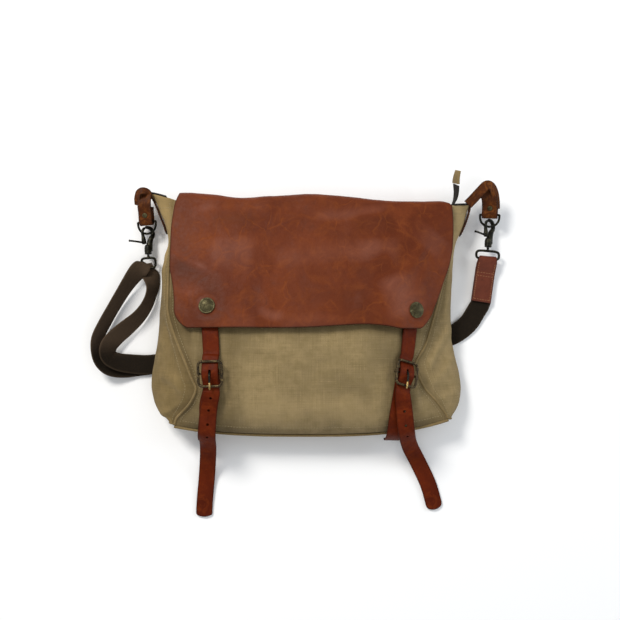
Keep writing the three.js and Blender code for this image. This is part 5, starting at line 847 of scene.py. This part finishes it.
rows = [[r_[0] + dr_[0] * k, r_[1] + dr_[1] * k, 4.35, 0] for k in (26, 42, 57)] + [
    [217.5, 2, 3.6, 0], [208, -13, 3.0, 0], [196, -24, 2.6, 0], [181, -32, 2.2, 0], [160, -37, 1.4, 0], [120, -40.5, 1.2, 0],
    [60, -45.4, 1.2, 0], [0, -50.4, 1.2, 0], [-60, -55.4, 1.2, 0], [-110, -59.6, 1.2, 0], [-150, -63, 1.2, 0], [-190, -66.6, 1.2, 0], [-215, -70, 1.4, 4],
    [-236, -73, 4.4, 14], [-252, -72, 8.2, 32], [-263, -64, 11.5, 52], [-268.5, -50, 13.2, 64], [-268, -34, 13.4, 66], [-259, -14, 13.4, 66], [-246, 10, 13.6, 66],
    [-232, 33, 15.5, 60], [-219.5, 50, 17.0, 40], [L[0] - 5.5, L[1] + 1.5, L[2] + 5.4, 6], [L[0] - 2.9, L[1] + 5.6, L[2] + 1.2, 3]]
al = spline(rows); R = []
for s_ in np.linspace(0, 1, 260):
    q = al(s_)[0]; a, b = al(max(0, s_ - 0.006))[0], al(min(1, s_ + 0.006))[0]; t = unit(vec(b[0] - a[0], b[1] - a[1], 0)); le = q[3] * DEG
    R.append([q[0], q[1], q[2], -t[1] * math.cos(le), t[0] * math.cos(le), math.sin(le)])
wd = [lerp(WEB_W, 14, float(smooth((s_ - 0.92) / 0.08))) for s_ in np.linspace(0, 1, 260)]
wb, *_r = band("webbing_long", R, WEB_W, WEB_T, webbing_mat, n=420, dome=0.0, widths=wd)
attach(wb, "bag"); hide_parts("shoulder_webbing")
bk_ = [[L[0] - 2.9, L[1] + 5.6, L[2] + 1.0, 0], [L[0] - 0.5, L[1] - 5.0, L[2] - 3.2, 0], [L[0] + 3.6, L[1] - 14, 8.0, 40], [-200.5, 26, 13.2, 66], [-206, 8, 13.4, 66], [-217, -8, 13.4, 58], [-232, -22, 14, 46], [-246, -35, 15.5, 42], [-254, -47, 16.2, 46], [-253, -58.5, 14.4, 44],
       [-243, -64.5, 10.5, 28], [-228, -67.0, 7.0, 12], [-208, -68.2, 4.6, 2], [-190, -66.6, 3.6, 0], [-150, -63, 3.5, 0], [-112, -59.8, 3.5, 0]]
bs = spline(bk_); R = []
for s_ in np.linspace(0, 1, 200):
    q = bs(s_)[0]; a, b = bs(max(0, s_ - 0.01))[0], bs(min(1, s_ + 0.01))[0]; t = unit(vec(b[0] - a[0], b[1] - a[1], 0)); le = q[3] * DEG
    R.append([q[0], q[1], q[2], t[1] * math.cos(le), -t[0] * math.cos(le), math.sin(le)])
wd = [lerp(14, WEB_W, float(smooth(s_ / 0.13))) for s_ in np.linspace(0, 1, 200)]
wr, *_r = band("webbing_doubled", R, WEB_W, WEB_T, webbing_mat, n=260, dome=0.0, widths=wd)
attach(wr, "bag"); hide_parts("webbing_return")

# ---------------------------------------------------------------- zipper
ZY, ZZ = 112, 24
for nm, sg in (("front", 1), ("back", -1)):
    lo_, hi_ = (ZZ + 1.8, ZZ + 6.4) if sg > 0 else (ZZ - 6.4, ZZ - 1.8)
    Xg, Zg = np.meshgrid(np.linspace(-158, 168, 160), np.linspace(lo_, hi_, 6)); G = np.stack([Xg, np.full(Xg.shape, ZY + 1.6), Zg], -1)
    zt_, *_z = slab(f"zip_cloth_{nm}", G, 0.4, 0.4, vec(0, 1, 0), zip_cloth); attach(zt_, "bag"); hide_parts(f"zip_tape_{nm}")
    V = []; F = []
    xs = np.arange(-152 + (0 if sg > 0 else 1.25), 163, 2.5)
    for x_ in xs:
        o = len(V); prof = [(-0.75, 1.9), (0.75, 1.9), (0.75, 0.55), (0.5, -0.35), (0.25, -0.62), (-0.25, -0.62), (-0.5, -0.35), (-0.75, 0.55)]
        for yy, kk in ((-0.85, 0.8), (-0.6, 1.0), (0.6, 1.0), (0.85, 0.8)):
            for px, pz in prof: V.append((x_ + px * kk, ZY + 1.6 + yy, ZZ + sg * (0.62 + (pz - 0.64) * kk * 0.85 + 0.3)))
        for j in range(3):
            for k in range(8): F.append((o + j * 8 + k, o + j * 8 + (k + 1) % 8, o + (j + 1) * 8 + (k + 1) % 8, o + (j + 1) * 8 + k))
        F += [tuple(o + k for k in range(8)), tuple(o + 24 + k for k in range(8))]
    te = make(f"zip_teeth_row_{nm}", V, F, zip_metal, np.array(V)[:, :2], {"edge": np.ones(len(V))}, smooth_=False); fix_normals(te)
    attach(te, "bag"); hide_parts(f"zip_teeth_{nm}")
tp = spline([[170.4, 114.2, 24], [176.6, 121, 24.5], [183, 131, 26], [187.2, 140, 31], [188.4, 148, 38.5], [187.6, 157, 45]])
rows = []; wd = []
for s_ in np.linspace(0, 1, 60): rows.append(np.concatenate([tp(s_)[0], vec(lerp(0, 0.35, s_), 0, lerp(1, 0.94, s_))])); wd.append(lerp(8, 13, float(smooth(s_ * 1.1 - 0.3))))
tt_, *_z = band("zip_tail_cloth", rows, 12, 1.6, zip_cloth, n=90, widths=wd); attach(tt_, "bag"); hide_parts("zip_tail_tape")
cp = spline([[187.3, 158.7, 45.5], [187.4, 163.5, 47.5], [188.2, 169, 49.5], [189.4, 174, 51]])
rows = []; wd = []
for s_ in np.linspace(0, 1, 40): rows.append(np.concatenate([cp(s_)[0], vec(0.35, 0, 0.94)])); wd.append(lerp(13.6, 11, s_ * s_))
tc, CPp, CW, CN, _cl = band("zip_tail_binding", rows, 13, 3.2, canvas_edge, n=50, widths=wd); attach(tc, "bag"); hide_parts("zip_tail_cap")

# ---------------------------------------------------------------- CAD pieces that stay, with their finish
def dress(name, mat, kind=None):
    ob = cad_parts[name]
    if not ob.material_slots: ob.data.materials.append(mat)
    for sl in ob.material_slots: sl.material = mat
    if kind:
        m = ob.modifiers.new("weld", "WELD"); m.merge_threshold = 1e-5
    if kind == "cast":
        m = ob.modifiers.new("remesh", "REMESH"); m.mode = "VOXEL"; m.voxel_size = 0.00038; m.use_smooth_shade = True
        m = ob.modifiers.new("cast", "SMOOTH"); m.factor = 0.5; m.iterations = 5
    if kind == "bevel":
        m = ob.modifiers.new("bevel", "BEVEL"); m.width = 0.00022; m.segments = 2; m.limit_method = "ANGLE"; m.angle_limit = 0.6
for s in ("left", "right"):
    dress(f"snap_socket_{s}", brass, "bevel"); dress(f"snap_stud_{s}", brass, "bevel")
dress("zip_slider", zip_metal, "bevel"); dress("zip_pull", zip_metal, "bevel"); dress("zip_stop", zip_metal, "bevel"); dress("strap_slider", bronze, "bevel")
dress("lining", lining_mat); dress("slip_pocket", lining_mat); dress("zip_facing_front", canvas_cad); dress("zip_facing_back", canvas_cad); dress("flap_seam_strip", canvas_cad)

# ---------------------------------------------------------------- floor, light, camera
fm = Mat("studio_floor", rough=0.9, spec=0.1); fm.finish((0.93, 0.93, 0.93, 1))
me = bpy.data.meshes.new("floor"); me.from_pydata([(-6, -6, -0.0004), (6, -6, -0.0004), (6, 6, -0.0004), (-6, 6, -0.0004)], [], [(0, 1, 2, 3)]); me.materials.append(fm.m)
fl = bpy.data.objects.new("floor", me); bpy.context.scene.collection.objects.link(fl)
w = bpy.data.worlds.new("studio"); bpy.context.scene.world = w; w.use_nodes = True; w.node_tree.nodes["Background"].inputs[0].default_value = (0.93, 0.96, 1, 1); w.node_tree.nodes["Background"].inputs[1].default_value = 0.50
def light(name, loc, target, size, energy, color=(1, 1, 1)):
    ld = bpy.data.lights.new(name, "AREA"); ld.shape = "SQUARE"; ld.size = size; ld.energy = energy; ld.color = color
    o = bpy.data.objects.new(name, ld); bpy.context.scene.collection.objects.link(o); o.location = loc
    o.rotation_euler = (Vector(target) - Vector(loc)).to_track_quat("-Z", "Y").to_euler()
light("key", (-0.95, 1.1, 1.6), (0, 0, 0.03), 0.6, 34, (1, 0.97, 0.92))
light("fill", (0.5, -1.2, 1.9), (0, 0, 0.03), 1.6, 8, (1, 0.99, 0.97))
light("side", (1.9, 0.4, 1.0), (0.05, 0, 0.04), 0.9, 12, (0.86, 0.93, 1))
cam = bpy.data.cameras.new("camera"); cam.sensor_width = 36; cam.lens = 880 / 620 * 36; cam.clip_start = 0.05
co = bpy.data.objects.new("camera", cam); bpy.context.scene.collection.objects.link(co); el = 83 * DEG; tgt = Vector((0.0025, -0.002, 0.040))
co.location = tgt + Vector((0, -math.cos(el), math.sin(el))) * 1.1; co.rotation_euler = (tgt - co.location).to_track_quat("-Z", "Y").to_euler(); bpy.context.scene.camera = co
bpy.context.scene.view_settings.view_transform = "Standard"
